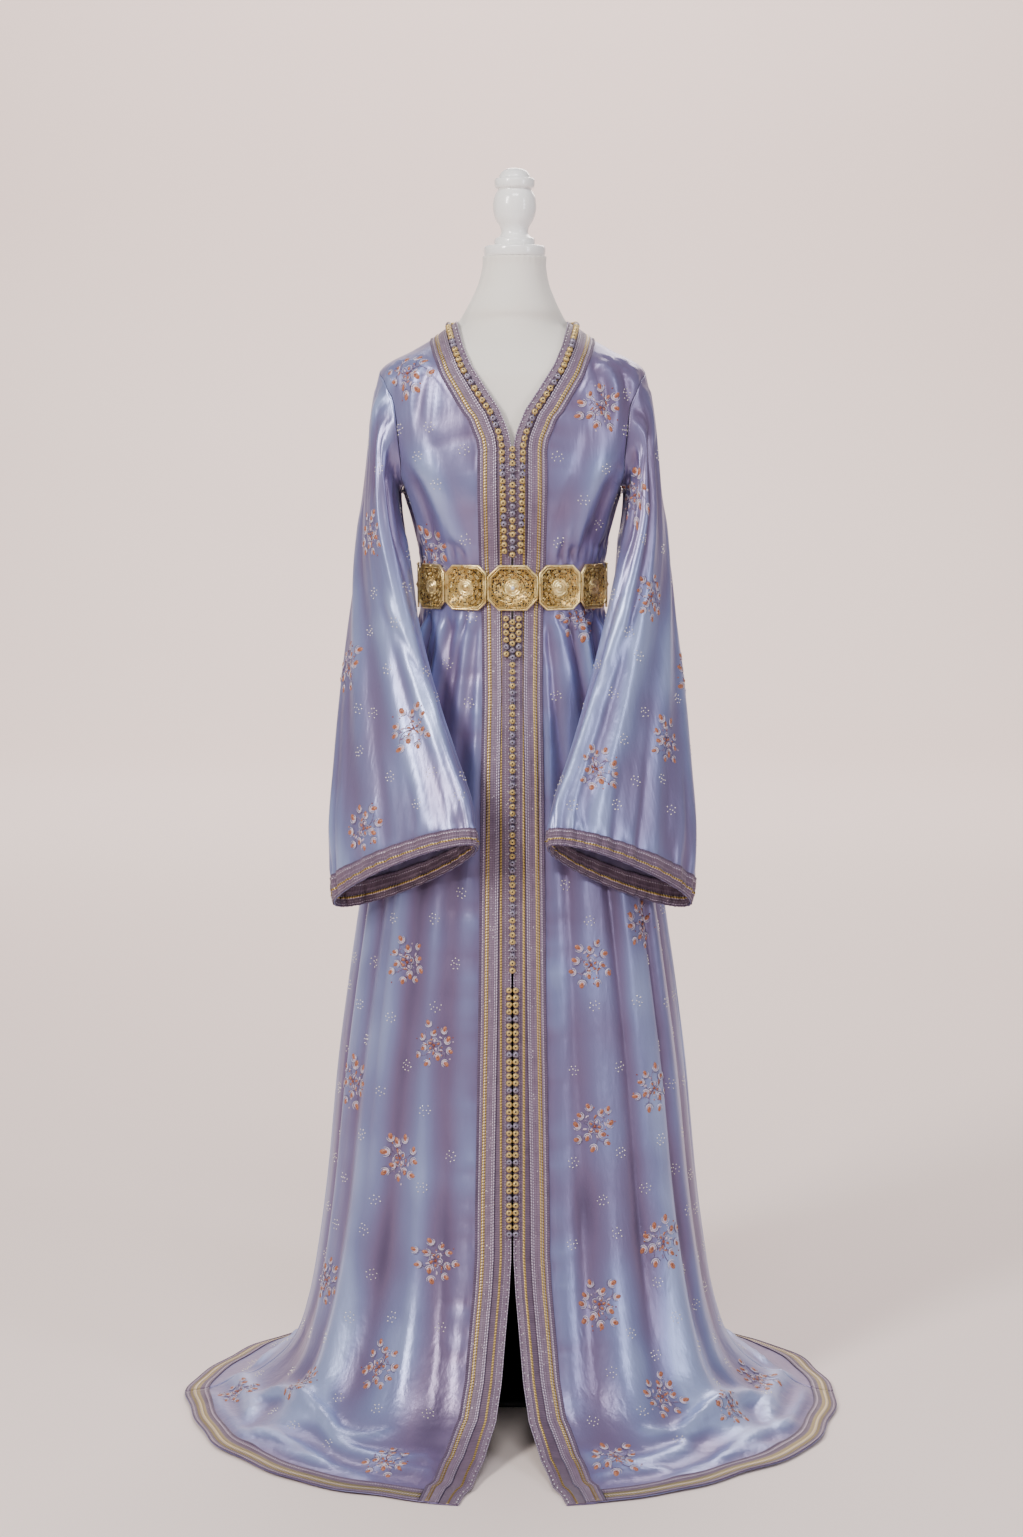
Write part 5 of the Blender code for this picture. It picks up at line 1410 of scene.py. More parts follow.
def build_plate(number):
    node = "belt_plate_%02d" % number
    middle, out, beside, half_width = plate_frame(node)
    half_height = (BELT_TOP - BELT_BOTTOM) / 2
    corner = 0.25 if number == 1 else 0.18
    plate = Collector([gilt_brass, gilt_ground_shade, stone_glass])

    def lay(flat, depth):
        flat = np.atleast_2d(flat)
        depth = np.broadcast_to(depth, (len(flat),))
        return middle + flat[:, :1] * beside + flat[:, 1:2] * np.array([0, 0, 1.0]) + depth[:, None] * out

    def wire(flat, radius, depth, closed=False, sides=5):
        path = lay(flat, depth)
        plate.tube(path, radius, np.broadcast_to(out, path.shape), 0, sides=sides, closed=closed)

    def bead(spot, radius, depth, slot=0, rings=3, spokes=7):
        turns = 2 * math.pi * np.arange(spokes) / spokes
        points = []
        for ring in range(rings):
            lean = math.pi / 2 * ring / rings
            circle = np.stack([np.cos(turns), np.sin(turns)], axis=-1) * radius * math.cos(lean)
            points.append(lay(np.asarray(spot) + circle, depth + radius * math.sin(lean)))
        points.append(lay(spot, depth + radius))
        faces = [tuple(face) for face in grid_faces(rings, spokes, shut=True, flip=True)]
        low = (rings - 1) * spokes
        faces += [(low + step, low + (step + 1) % spokes, rings * spokes) for step in range(spokes)]
        plate.add(np.concatenate(points), faces, slot)

    layers = ((0.0, 0.0), (0.0, 1.9), (0.6, 2.8), (1.9, 2.8), (2.5, 2.2), (2.7, 1.0))
    points = [lay(octagon(half_width, half_height, inset * MM, corner), depth * MM) for inset, depth in layers]
    count = 8
    faces = [tuple(face) for face in grid_faces(len(layers), count, shut=True, flip=True)]
    faces.append(tuple(range(count - 1, -1, -1)))
    # The plate's floor takes the pierced ground: painted holes and darker gilt, painted shade.
    floor_face = tuple(range((len(layers) - 1) * count, len(layers) * count))
    plate.add(np.concatenate(points), faces + [floor_face], [0] * len(faces) + [1])

    squeeze = half_width / half_height * 0.97
    wire(octagon(half_width, half_height, 3.9 * MM, corner), 0.55 * MM, 2.1 * MM, closed=True)
    boss = [lay(ring_path(radius * MM, 24), depth * MM) for radius, depth in
            ((11.4, 1.5), (10.9, 2.3), (10.0, 2.4), (9.6, 1.6), (7.9, 1.5), (7.5, 2.6), (6.7, 2.8),
             (6.2, 2.0), (4.9, 2.2), (4.4, 3.2), (2.8, 3.8), (0.4, 4.0))]
    plate.add(np.concatenate(boss), [tuple(f) for f in grid_faces(12, 24, shut=True, flip=True)], 0)
    for step in range(18):
        turn = 2 * math.pi * step / 18
        bead(np.array([math.cos(turn), math.sin(turn)]) * 8.7 * MM, 0.85 * MM, 1.5 * MM, spokes=6)
    bead((0.0, 0.0), 2.6 * MM if number == 1 else 1.7 * MM, 3.4 * MM, slot=2 if number == 1 else 0,
         rings=5, spokes=12)
    inner = octagon(half_width, half_height, 6.3 * MM, corner)
    sides = np.roll(inner, -1, axis=0) - inner
    for reach, many, eye, start in ((14.2, 14, 2.2, 0.0), (19.0, 18, 2.35, 0.5), (23.9, 22, 2.3, 0.0),
                                    (28.6, 26, 2.1, 0.5), (33.0, 26, 2.1, 0.0)):
        for step in range(many):
            turn = 2 * math.pi * (step + start) / many
            spot = np.array([math.cos(turn) * squeeze, math.sin(turn)]) * reach * MM
            offsets = spot - inner
            if np.min(sides[:, 0] * offsets[:, 1] - sides[:, 1] * offsets[:, 0]) < 0:
                continue
            hand = 1 if step % 2 else -1
            wire(spiral(spot, eye * MM, 1.3, hand, turn + 0.8 * hand, 12), 0.5 * MM, 1.75 * MM, sides=3)
            bead(spot - np.array([math.cos(turn), math.sin(turn)]) * 2.5 * MM, 0.55 * MM, 1.4 * MM,
                 rings=2, spokes=5)
    edge = octagon(half_width, half_height, 5.2 * MM, corner)
    for start, end in zip(edge, np.roll(edge, -1, axis=0)):
        length = np.linalg.norm(end - start)
        for step in range(int(length / (1.9 * MM))):
            bead(start + (end - start) * (step + 0.5) / int(length / (1.9 * MM)), 0.62 * MM, 1.5 * MM,
                 rings=2, spokes=5)
    bead((0.0, half_height - 2.4 * MM), 1.5 * MM, 2.6 * MM)
    return plate.make("gilt_plate_%02d" % number, "gold", [node])


plates = [build_plate(number) for number in range(1, 13)]
print("plates", len(plates), "faces in one", len(plates[0].data.polygons))

# %% [markdown]
# ## The under layer's braid
# The under layer shows only as a narrow strip beside the opening, below the outer braid. It has
# the same plum ground, a pale edge cord, one gold line, and a row of tiny silver beads. It must
# dip under the satin of the outer front, so its heights fall where the outer braid begins.

# %% Under braid on both fronts and round the back of the neck
UNDER_SECTION = (
    (0.0, -0.30, PALE), (0.0, 0.45, PALE), (0.35, 0.75, PALE), (0.85, 0.75, PALE), (1.2, 0.45, PLUM),
    (3.2, 0.45, LILAC), (7.2, 0.45, PLUM), (7.6, 0.70, PALE), (8.1, 0.70, PLUM), (8.5, 0.45, PLUM),
    (12.3, 0.45, GOLD), (12.8, 0.90, GOLD), (13.7, 1.10, GOLD), (14.6, 0.90, GOLD), (15.1, 0.45, PLUM),
)
UNDER_WIDTHS, UNDER_HEIGHTS, UNDER_STRIPES = section(UNDER_SECTION)
UNDER_WIDTHS = UNDER_WIDTHS * MM


def under_profile(reveals):
    """Widths and heights of each row; beyond the reveal the braid lies below the outer satin."""
    tails = reveals[:, None] + np.array([-0.9, -0.3, 2.0]) * MM
    widths = np.concatenate([np.minimum(UNDER_WIDTHS, tails[:, :1]), tails], axis=1)
    heights = np.concatenate([np.tile(UNDER_HEIGHTS, (len(reveals), 1)),
                              np.tile(np.array([0.35, -0.1, -0.1]) * MM, (len(reveals), 1))], axis=1)
    heights = np.where(widths > reveals[:, None] - 1.4 * MM, np.minimum(heights, 0.35 * MM), heights)
    return widths, heights


UNDER_SLOTS = UNDER_STRIPES + [PLUM, PLUM, PLUM]
silver_bead, _, _ = new_material("silver_lined_bead", {"Base Color": linear("#e4e0ea"), "Metallic": 0.35,
                                                       "Roughness": 0.16, "Coat Weight": 0.5})
for hand in ("right", "left"):
    widths, heights = under_profile(REVEALS)
    columns = widths / (REVEALS + BAND_WIDTH / 2)[:, None] * UNDER_COLUMNS
    rows = np.arange(len(REVEALS), dtype=float)[:, None] + 0 * columns
    bands["under_" + hand] = strip("under_braid_" + hand, UNDERS[hand], rows, columns, heights,
                                   UNDER_SLOTS, [])

neck_widths = np.linspace(0.0, NECK_REVEAL + BAND_WIDTH / 2, UNDER_COLUMNS + 1)
neck_angles, neck_grid = back_grid(neck_levels(neck_widths))
UNDER_NECK = gown_cloth(neck_angles, neck_grid, np.zeros(neck_angles.shape), 1.0)
satin_pieces["under_neck"] = cloth_piece("under_back_neck_cloth", UNDER_NECK, ["under_back_neck"],
                                         [satin, satin_reverse], offset=-SEAM, side=-1.0)
widths, heights = under_profile(np.full(BACK_COLUMNS + 1, NECK_REVEAL))
rows = widths / (NECK_REVEAL + BAND_WIDTH / 2) * UNDER_COLUMNS
columns = np.arange(BACK_COLUMNS + 1, dtype=float)[:, None] + 0 * rows
bands["under_neck"] = strip("under_braid_neck", UNDER_NECK, rows, columns, heights, UNDER_SLOTS, [])
print("bands with the under layer", len(bands))

# %% [markdown]
# ## The dress form
# The form is a hard shell under tight off-white jersey, closed at the neck by a turned wooden
# cap with a gloss white finial. The jersey is gathered by hand stitches under the cap, and a seam
# runs down the side of the neck. Below the hip a black steel pole goes down to a round base.

# %% Jersey, lacquer and black steel
jersey, jersey_tree, jersey_shader = new_material("off_white_jersey", {
    "Roughness": 0.85, "Sheen Weight": 0.35, "Sheen Roughness": 0.5, "Sheen Tint": linear("#ffffff")})
knit_place = add_node(jersey_tree, "TexCoord").outputs["Object"]
knit = add_node(jersey_tree, "TexNoise", {"Vector": knit_place, "Scale": 950.0, "Detail": 1.0})
drag = add_node(jersey_tree, "TexNoise", {"Vector": knit_place, "Scale": 9.0, "Detail": 2.0})
knit_bump = add_node(jersey_tree, "Bump", {"Height": knit.outputs["Fac"], "Strength": 0.25, "Distance": 0.0005})
jersey_tree.links.new(knit_bump.outputs["Normal"], jersey_shader.inputs["Normal"])
jersey_colour = colour_ramp(jersey_tree, drag.outputs["Fac"], [(0.3, "#e3ddd5"), (0.7, "#ebe6df")])
jersey_tree.links.new(jersey_colour, jersey_shader.inputs["Base Color"])

lacquer, lacquer_tree, lacquer_shader = new_material("gloss_white_lacquer", {
    "Roughness": 0.22, "Coat Weight": 0.6, "Coat Roughness": 0.08})
wave = add_node(lacquer_tree, "TexNoise", {"Vector": add_node(lacquer_tree, "TexCoord").outputs["Object"],
                                           "Scale": 30.0})
lacquer_colour = colour_ramp(lacquer_tree, wave.outputs["Fac"], [(0.3, "#f5f4f2"), (0.7, "#fbfaf9")])
lacquer_tree.links.new(lacquer_colour, lacquer_shader.inputs["Base Color"])
lacquer_bump = add_node(lacquer_tree, "Bump", {"Height": wave.outputs["Fac"], "Strength": 0.05,
                                               "Distance": 0.001})
lacquer_tree.links.new(lacquer_bump.outputs["Normal"], lacquer_shader.inputs["Normal"])

black_steel, steel_tree, steel_shader = new_material("black_painted_steel", {"Roughness": 0.42})
orange_peel = add_node(steel_tree, "TexNoise", {"Vector": add_node(steel_tree, "TexCoord").outputs["Object"],
                                                "Scale": 260.0})
steel_colour = colour_ramp(steel_tree, orange_peel.outputs["Fac"], [(0.3, "#17171a"), (0.7, "#222226")])
steel_tree.links.new(steel_colour, steel_shader.inputs["Base Color"])
steel_bump = add_node(steel_tree, "Bump", {"Height": orange_peel.outputs["Fac"], "Strength": 0.1,
                                           "Distance": 0.0004})
steel_tree.links.new(steel_bump.outputs["Normal"], steel_shader.inputs["Normal"])


# %% Turned pieces
NECK_TOP = 1.552
NECK_LEAN = 0.003


def turned_piece(name, profile, material, slot_name, aside=0.0, segments=48, steps=3, smooth_profile=True):
    """A turned piece from radius and height pairs, top to bottom, rounded between them."""
    table = np.array(profile)
    count = (len(table) - 1) * steps + 1 if smooth_profile else len(table)
    places = np.linspace(0.0, len(table) - 1.0, count)
    rings = read_smooth(table, places) if smooth_profile else table
    rings[:, 0] = np.maximum(rings[:, 0], 0.0)
    turns = 2 * math.pi * np.arange(segments) / segments
    points = np.stack([aside + rings[:, :1] * np.sin(turns), -rings[:, :1] * np.cos(turns),
                       rings[:, 1:] + 0 * turns], axis=-1)
    faces = [tuple(face) for face in grid_faces(len(rings), segments, shut=True)]
    last_ring = range((len(rings) - 1) * segments, len(rings) * segments)
    faces += [tuple(range(segments)), tuple(reversed(last_ring))]
    item = mesh_object(name, points, faces, [material])
    return item


def own(item, node):
    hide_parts(node)
    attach(item, "root")
    return item


FINIAL = ((0.0001, 1.6690), (0.0095, 1.6680), (0.0165, 1.6645), (0.0205, 1.6590), (0.0215, 1.6560),
          (0.0262, 1.6545), (0.0270, 1.6490), (0.0258, 1.6430), (0.0225, 1.6408), (0.0272, 1.6320),
          (0.0290, 1.6220), (0.0286, 1.6120), (0.0255, 1.6010), (0.0200, 1.5920), (0.0182, 1.5860),
          (0.0190, 1.5810), (0.0225, 1.5780), (0.0265, 1.5755), (0.0275, 1.5710), (0.0268, 1.5666))
CAP = ((0.0380, 1.5662), (0.0405, 1.5652), (0.0415, 1.5625), (0.0415, 1.5585), (0.0410, 1.5545),
       (0.0400, NECK_TOP + SEAM))
own(turned_piece("turned_finial", FINIAL, lacquer, "lacquer", NECK_LEAN), "finial")
own(turned_piece("turned_cap", CAP, lacquer, "lacquer", NECK_LEAN), "neck_cap")


# %% Jersey skin, pole and base
def form_ring(level, angles):
    ease = read_smooth(RINGS, level)[EASE]
    off_shoulder = 1.0 - np.exp(-((np.abs(np.abs(angles - 180.0) - 90.0)) / 8.0) ** 2)
    points = plain_points(angles, np.full(angles.shape, level))
    points = points - outward(angles, np.full(angles.shape, level)) * (ease + 4.5 * MM * off_shoulder)[:, None]
    points[:, 0] = np.clip(points[:, 0], -0.158, 0.158)
    chest = 10.5 * MM * math.exp(-level / 0.75) * np.exp(-(turned_between(angles, 0.0) / 36.0) ** 2)
    return points + outward(angles, np.full(angles.shape, level)) * chest[:, None]


FORM_COLUMNS = 120
form_angles = 360.0 * np.arange(FORM_COLUMNS) / FORM_COLUMNS
form_turns = np.radians(form_angles)
form_rings = []
for height, radius in ((NECK_TOP, 0.0425), (1.535, 0.0435), (1.515, 0.0480), (1.497, 0.0555), (1.480, 0.0640)):
    lean = 0.004 * (NECK_TOP - height) / 0.07
    aside = NECK_LEAN * (height - 1.466) / (NECK_TOP - 1.466)
    form_rings.append(np.stack([radius * np.sin(form_turns) + aside, -radius * 0.93 * np.cos(form_turns) + lean,
                                np.full(FORM_COLUMNS, height)], axis=-1))
FORM_LEVELS = (0.0, 0.6, 1.3, 2.0, 3.0, 3.5, 4.0, 5.0, 6.0, 7.0, 8.0, 9.0, 10.0, 11.0, float(level_of(0.780)))
for level in FORM_LEVELS:
    form_rings.append(form_ring(level, form_angles))
form_places = np.linspace(0.0, len(form_rings) - 1.0, (len(form_rings) - 1) * 4 + 1)
form_points = smooth_rows(np.array(form_rings), form_places)
below_cap = np.clip(NECK_TOP - form_points[..., 2], 0.0, 1.0)
gathered = 0.5 * MM * np.sin(30 * form_turns)[None, :] * np.exp(-below_cap / 0.007)
gathered -= 0.9 * MM * np.exp(-((below_cap - 0.010) / 0.0022) ** 2)
seam_ridge = 0.7 * MM * np.exp(-(turned_between(form_angles, 62.0) / 2.6) ** 2)[None, :]
seam_ridge = seam_ridge + 0.7 * MM * np.exp(-(turned_between(form_angles, 298.0) / 2.6) ** 2)[None, :]
spread = unit(form_points * np.array([1.0, 1.0, 0.0]))
fade_low = np.clip((form_points[..., 2] - 1.36) / 0.05, 0.0, 1.0)
form_points = form_points + spread * ((gathered + seam_ridge) * fade_low)[..., None]
form_points[0, :, 2] = NECK_TOP
form_faces = [tuple(face) for face in grid_faces(len(form_places), FORM_COLUMNS, shut=True)]
form_faces.append(tuple(range(FORM_COLUMNS)))
last_ring = (len(form_places) - 1) * FORM_COLUMNS
form_faces.append(tuple(reversed(range(last_ring, last_ring + FORM_COLUMNS))))
own(mesh_object("jersey_form", form_points, form_faces, [jersey]), "form_torso")
form_floor = float(form_points[..., 2].min())

POLE_NODE = np.array([vertex.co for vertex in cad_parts["stand_pole"].data.vertices])
BASE_NODE = np.array([vertex.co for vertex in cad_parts["stand_base"].data.vertices])
pole_radius, pole_top, pole_low = np.abs(POLE_NODE[:, 0]).max(), POLE_NODE[:, 2].max(), POLE_NODE[:, 2].min()
base_radius, base_top = np.abs(BASE_NODE[:, 0]).max(), BASE_NODE[:, 2].max()
pole_profile = ((pole_radius, pole_top), (pole_radius, pole_low))
own(turned_piece("steel_pole", pole_profile, black_steel, "black_steel", segments=32, smooth_profile=False),
    "stand_pole")
BASE_PROFILE = ((0.0001, base_top), (0.024, base_top), (base_radius - 0.012, base_top - 0.004),
                (base_radius - 0.002, base_top - 0.008), (base_radius, 0.003), (base_radius - 0.002, 0.0))
own(turned_piece("steel_base", BASE_PROFILE, black_steel, "black_steel", segments=64, smooth_profile=False),
    "stand_base")
print("form points", form_points.shape[:2], "lowest", round(form_floor, 3))

# %% [markdown]
# ## Embroidery
# Each spray is machine embroidery about 65 mm across: small copper buds in raised satin stitch,
# each held by a white crescent, on thin bent stems of lilac and rust round an open middle
# flower. Between the sprays lie rosettes of small cream beads. Every stitch is laid on the
# cloth's grid, so it bends with the folds. The sprays of the front stand about where the
# photograph shows them; those of the sides and the back are guessed and go on alike.

# %% Threads
def floss(name, dark, light, roughness, gloss):
    """Trilobal embroidery thread: bright, with fine parallel filaments that break the gloss up."""
    material, tree, shader = new_material(name, {"Roughness": roughness, "Sheen Weight": gloss})
    place = add_node(tree, "TexCoord").outputs["Object"]
    strands = add_node(tree, "TexNoise", {"Vector": place, "Scale": 1100.0, "Detail": 1.0})
    colour = colour_ramp(tree, strands.outputs["Fac"], [(0.35, dark), (0.65, light)])
    tree.links.new(colour, shader.inputs["Base Color"])
    bump = add_node(tree, "Bump", {"Height": strands.outputs["Fac"], "Strength": 0.5, "Distance": 0.0003})
    tree.links.new(bump.outputs["Normal"], shader.inputs["Normal"])
    return material


FLOSSES = [
    floss("copper_floss", "#7d422c", "#b4714c", 0.38, 0.2),
    floss("white_floss", "#b0a6bd", "#ded7e4", 0.42, 0.3),
    floss("lilac_floss", "#513e5e", "#857299", 0.42, 0.3),
    floss("rust_floss", "#5f261a", "#8f4630", 0.40, 0.2),
    floss("pink_petal_floss", "#a08aa4", "#d0bccb", 0.40, 0.3),
]
COPPER, WHITE, STEM, RUST, PETAL = range(5)
cream_bead, _, _ = new_material("cream_pearl_bead", {"Base Color": linear("#f3ecdf"), "Roughness": 0.2,
                                                     "Coat Weight": 0.6, "Metallic": 0.1})


# %% Stitches laid on a cloth
class Needle:
    """Works in millimetres round a place on a cloth: across to the right and up the cloth."""

    def __init__(self, collector, cloth, row, column, turn=0.0, size=1.0):
        self.skin = 0.05 if cloth.shut else 1.15
        self.collector = collector
        self.cloth = cloth
        self.row = row
        self.column = column
        here, down, beside = cloth.strides(row, column)
        across = unit(beside)
        up = unit(-down + across * (down @ across))
        cos, sin = math.cos(turn) * size, math.sin(turn) * size
        frame_ways = np.stack([across * cos + up * sin, up * cos - across * sin], axis=-1) * MM
        self.to_grid = np.linalg.pinv(np.stack([down, beside], axis=-1)) @ frame_ways

    def put(self, flat, lift):
        """Points and normals for places in mm, lifted by millimetres off the cloth."""
        flat = np.atleast_2d(np.asarray(flat, dtype=float))
        steps = flat @ self.to_grid.T
        rows, columns = self.row + steps[:, 0], self.column + steps[:, 1]
        lifts = (self.skin + np.broadcast_to(np.asarray(lift, dtype=float), (len(flat),))) * MM
        points = self.cloth.lay(rows, columns, lifts)
        return points, unit(self.cloth.read(self.cloth.normals, rows, columns))

    def line(self, flat, radius, slot, lift=0.35, sides=3):
        points, normals = self.put(flat, lift)
        self.collector.tube(points, np.asarray(radius) * MM, normals, slot, sides=sides)

    def pad(self, middle, length, width, heading, slot, height=1.0, spokes=7):
        """A raised oval of satin stitch."""
        turns = 2 * math.pi * np.arange(spokes) / spokes
        along = np.array([math.cos(heading), math.sin(heading)])
        aside = np.array([-along[1], along[0]])
        rings = []
        for share, lift in ((1.0, 0.0), (0.76, 0.75)):
            flat = np.asarray(middle) + (np.cos(turns)[:, None] * along * length
                                         + np.sin(turns)[:, None] * aside * width) * share / 2
            rings.append(self.put(flat, lift * height)[0])
        rings.append(self.put(middle, height)[0])
        flip = self.turned_over()
        faces = [tuple(face) for face in grid_faces(2, spokes, shut=True, flip=flip)]
        top = [(spokes + step, spokes + (step + 1) % spokes, 2 * spokes) for step in range(spokes)]
        faces += top if flip else [face[::-1] for face in top]
        self.collector.add(np.concatenate(rings), faces, slot)

    def turned_over(self):
        points, normals = self.put([(0, 0), (1, 0), (0, 1)], 0.0)
        return bool(np.cross(points[1] - points[0], points[2] - points[0]) @ normals[0] > 0)

    def bead(self, middle, radius, slot):
        self.pad(middle, 2 * radius, 2 * radius, 0.0, slot, height=1.3 * radius, spokes=6)


def arc(middle, radius, start, end, count, squeeze=1.0):
    turns = np.linspace(start, end, count)
    return np.asarray(middle) + radius * np.stack([np.cos(turns), np.sin(turns) * squeeze], axis=-1)


def bud(needle, place, heading, size, draw):
    """A copper bud on a pale petal, held by a white crescent that is open on the far side."""
    way = np.array([math.cos(heading), math.sin(heading)])
    middle = np.asarray(place)
    needle.pad(middle - way * 0.4 * size, 8.2 * size, 6.6 * size, heading, PETAL, height=0.4)
    needle.pad(middle + way * 1.4 * size, 8.2 * size, 5.6 * size, heading, COPPER, height=1.2)
    needle.pad(middle + way * 0.4 * size, 3.6 * size, 2.0 * size, heading, RUST, height=1.5)
    cup = arc(middle, 4.7 * size, heading + math.pi - 1.9, heading + math.pi + 1.9, 9)
    needle.line(cup, (0.25, 0.45, 0.6, 0.7, 0.75, 0.7, 0.6, 0.45, 0.25), WHITE, lift=0.6)
    if draw.random() < 0.6:
        needle.line(arc(middle, 6.4 * size, heading + math.pi - 1.3, heading + math.pi + 1.1, 7),
                    (0.2, 0.35, 0.45, 0.45, 0.45, 0.35, 0.2), STEM, lift=0.4)


def spray(needle, seed):
    draw = random.Random(seed)
    buds = ((-19, 14, 2.2), (-7, 27, 1.9), (8, 18, 1.2), (20, 24, 0.7), (23, 5, 0.2), (13, -9, -0.5),
            (18, -22, -1.0), (-2, -27, -1.7), (-11, -13, -2.2), (-24, -17, -2.6), (-25, 1, 3.0))
    for number, (a, b, heading) in enumerate(buds):
        place = np.array([a + draw.uniform(-2.5, 2.5), b + draw.uniform(-2.5, 2.5)]) * 0.93
        bud(needle, place, heading + draw.uniform(-0.6, 0.6), draw.uniform(0.88, 1.2), draw)
        bend = np.array([-place[1], place[0]]) * draw.choice((-1, 1)) * draw.uniform(0.5, 1.1)
        share = np.linspace(0.05, 0.80, 6)[:, None]
        needle.line(place * share + bend * share * (1 - share), 0.5, (STEM, STEM, RUST)[number % 3], lift=0.3)
        leaf = place * 0.55 + bend * 0.25 + np.array([draw.uniform(-3, 3), draw.uniform(-3, 3)])
        needle.pad(leaf, 6.0, 2.4, draw.uniform(0, 3.1), (STEM, PETAL, COPPER)[number % 3],
                   height=0.8, spokes=6)
    for petal in range(5):
        turn = 2 * math.pi * petal / 5 + draw.uniform(-0.2, 0.2)
        tip = np.array([math.cos(turn), math.sin(turn)]) * 6.0
        needle.line(arc(tip, 3.8, turn + 1.9, turn - 1.9, 7), 0.4, WHITE, lift=0.45)
        needle.pad(tip, 5.0, 3.4, turn, (COPPER, PETAL)[petal % 2], height=0.8, spokes=6)
    needle.pad((0, 0), 4.4, 4.4, 0.0, RUST, height=1.5)
    for number in range(10):
        turn = draw.uniform(0, 2 * math.pi)
        reach = draw.uniform(10, 33)
        needle.pad((math.cos(turn) * reach, math.sin(turn) * reach), 2.4, 2.0, turn,
                   (COPPER, PETAL, RUST)[number % 3], height=0.9, spokes=6)


def bead_cluster(needle, seed):
    """A loose rosette: six or seven separate beads round two."""
    draw = random.Random(seed)
    count = draw.choice((6, 7, 7))
    lead = draw.uniform(0.0, 6.28)
    for step in range(count):
        turn = lead + 2 * math.pi * step / count + draw.uniform(-0.16, 0.16)
        reach = draw.uniform(5.6, 7.4)
        needle.bead((1.15 * reach * math.cos(turn), reach * math.sin(turn)), draw.uniform(0.72, 0.88), 0)
    for aside in (-2.1, 2.1):
        needle.bead((aside, draw.uniform(-1.0, 1.0)), 0.75, 0)


# %% Places of the sprays, in metres
FRONT_SPRAYS = ((-0.137, 1.393), (-0.107, 1.161), (-0.140, 0.615), (-0.216, 0.441), (-0.150, 0.359),
                (-0.251, 0.175), (-0.175, 0.098), (0.114, 1.347), (0.087, 1.075), (0.105, 0.615),
                (0.173, 0.659), (0.110, 0.406), (0.189, 0.446), (0.203, 0.242), (0.113, 0.178),
                (0.197, 0.060), (-0.100, 0.800), (-0.100, 0.230), (-0.105, 0.510))
FLOOR_SPRAYS = ((-0.284, -0.187), (-0.161, -0.375), (-0.382, -0.075), (0.130, -0.370), (0.347, -0.026),
                (0.290, -0.230))
SLEEVE_SPRAYS = {"left": ((-0.189, 1.182), (-0.220, 1.002), (-0.129, 0.931), (-0.195, 0.800)),
                 "right": ((0.164, 1.235), (0.184, 1.102), (0.111, 0.879), (0.205, 0.913))}


def staggered(cloth, rows, columns, spacing, seed, taken=(), room=0.0):
    """Grid places in a loose half-drop repeat, spacing metres apart and clear of those taken."""
    draw = random.Random(seed)
    kept_off = [cloth.lay(row, column) for row, column in taken]
    places = []
    row = rows[0]
    line = 0
    while row < rows[1]:
        column = columns[0] + draw.uniform(0.0, 4.0)
        offset = 0.5 if line % 2 else 0.0
        while column < columns[1]:
            here, down, beside = cloth.strides(row, column)
            step = spacing / max(np.linalg.norm(beside), 1e-4)
            spot = (row + draw.uniform(-2.0, 2.0), min(column + offset * step, columns[1]))
            point = cloth.lay(*spot)
            if all(np.linalg.norm(point - other) > room for other in kept_off):
                places.append(spot)
            column += step * draw.uniform(0.9, 1.1)
        row += spacing * 0.8 / ROW_PITCH
        line += 1
    return places


def embroider(name, cloth, spray_places, cluster_places, seed):
    threads = Collector(FLOSSES)
    beads = Collector([cream_bead])
    draw = random.Random(seed)
    for number, (row, column) in enumerate(spray_places):
        spray(Needle(threads, cloth, row, column, draw.uniform(-0.6, 0.6), draw.uniform(1.0, 1.16)),
              seed + number)
    for number, (row, column) in enumerate(cluster_places):
        bead_cluster(Needle(beads, cloth, row, column, draw.uniform(-0.6, 0.6)), seed + number)
    return [collected.make(name + end, "satin")
            for collected, end in ((threads, "_embroidery"), (beads, "_beads"))
            if collected.count]


print("front sprays", len(FRONT_SPRAYS), "on the floor", len(FLOOR_SPRAYS))


# %% Embroider every panel
def places_near(cloth, targets, axes, facing, farthest):
    found = []
    for target in targets:
        row, column, gap = cloth.nearest(target, axes, facing)
        if gap < farthest:
            found.append((row, column))
    return found


def clusters_between(cloth, rows, columns, sprays, seed):
    return staggered(cloth, rows, columns, 0.074, seed, sprays, 0.048)


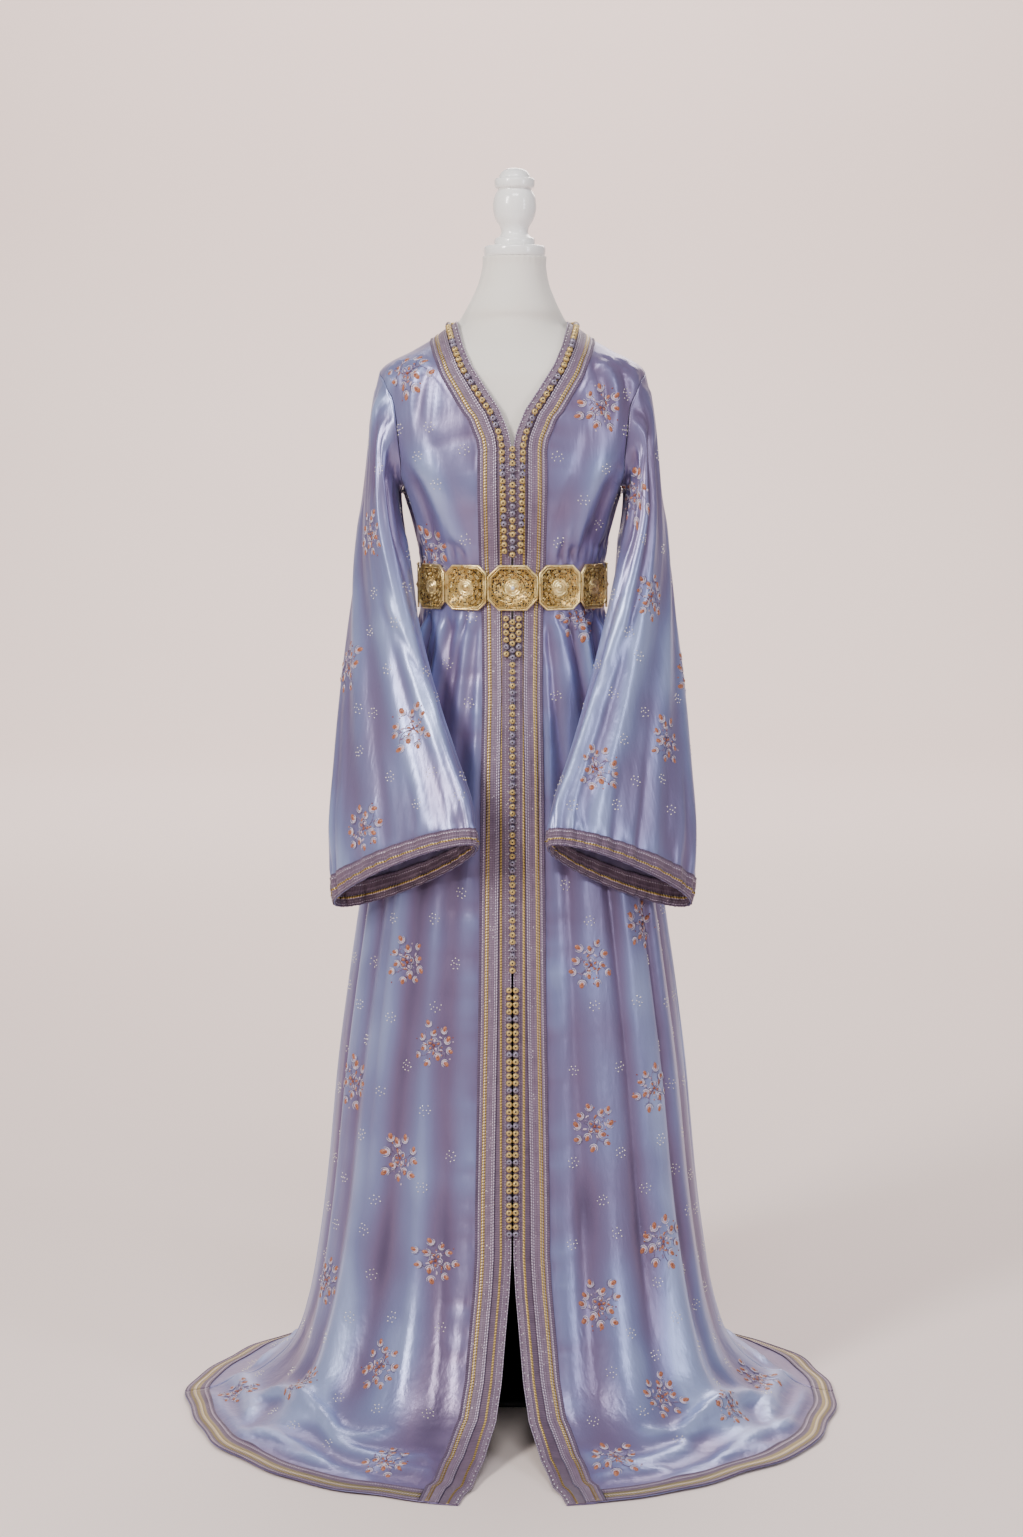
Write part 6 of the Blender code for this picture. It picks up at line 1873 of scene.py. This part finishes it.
made = 0
for hand in ("right", "left"):
    cloth = FRONTS[hand]
    side = 1.0 if hand == "right" else -1.0
    mine = [place for place in FRONT_SPRAYS if place[0] * side > 0]
    on_pool = [place for place in FLOOR_SPRAYS if place[0] * side > 0]
    sprays = places_near(cloth, mine, (0, 2), (0, -1, 0), 0.02)
    sprays += places_near(cloth, on_pool, (0, 1), (0, 0, 1), 0.03)
    sprays = [(row, min(max(column, 14.0), cloth.points.shape[1] - 12.0)) for row, column in sprays]
    count_rows, count_columns = cloth.points.shape[:2]
    clusters = clusters_between(cloth, (16, count_rows - 9), (13, count_columns - 5), sprays, 310 + int(side))
    made += len(embroider("gown_front_" + hand, cloth, sprays, clusters, 300 if side > 0 else 400))
    sleeve = SLEEVES[hand]
    sprays = places_near(sleeve, SLEEVE_SPRAYS[hand], (0, 2), (0, -1, 0), 0.03)
    sprays += staggered(sleeve, (24, CUFF_ROW - 12), (52, 112), 0.16, 520, sprays, 0.1)
    clusters = clusters_between(sleeve, (14, CUFF_ROW - 5), (0, 118), sprays, 530 + int(side))
    made += len(embroider("gown_sleeve_" + hand, sleeve, sprays, clusters, 500 if side > 0 else 600))
back_rows, back_columns = BACK_CLOTH.points.shape[:2]
sprays = staggered(BACK_CLOTH, (30, back_rows - 16), (12, back_columns - 10), 0.175, 700)
clusters = clusters_between(BACK_CLOTH, (18, back_rows - 9), (6, back_columns - 6), sprays, 701)
made += len(embroider("gown_back", BACK_CLOTH, sprays, clusters, 702))
for hand in ("right", "left"):
    small = Collector([silver_bead])
    cloth = UNDERS[hand]
    for row in np.arange(4.0, len(REVEALS) - 2.0, 1.3):
        column = 3.1 * MM / (REVEALS[int(row)] + BAND_WIDTH / 2) * UNDER_COLUMNS
        Needle(small, cloth, row, column).bead((0.0, 0.0), 0.9, 0)
    small.make("under_beads_" + hand, "band")
print("embroidered pieces", made, "sprays on the back", len(sprays))

# %% [markdown]
# ## The cut of the cloth
# The fronts and the back are long trapezoids with a curved armhole, the sleeves are wide
# trapezoids joined under the arm, and the under layer is a narrow facing. The sizes are
# estimates. The areas were chosen near the surface of the finished shells, so the table check does
# not prove them.


for hand in ("right", "left"):
    front, sleeve, under = "gown_front_" + hand, "gown_sleeve_" + hand, "under_front_cloth_" + hand
print("sheets declared", 8)
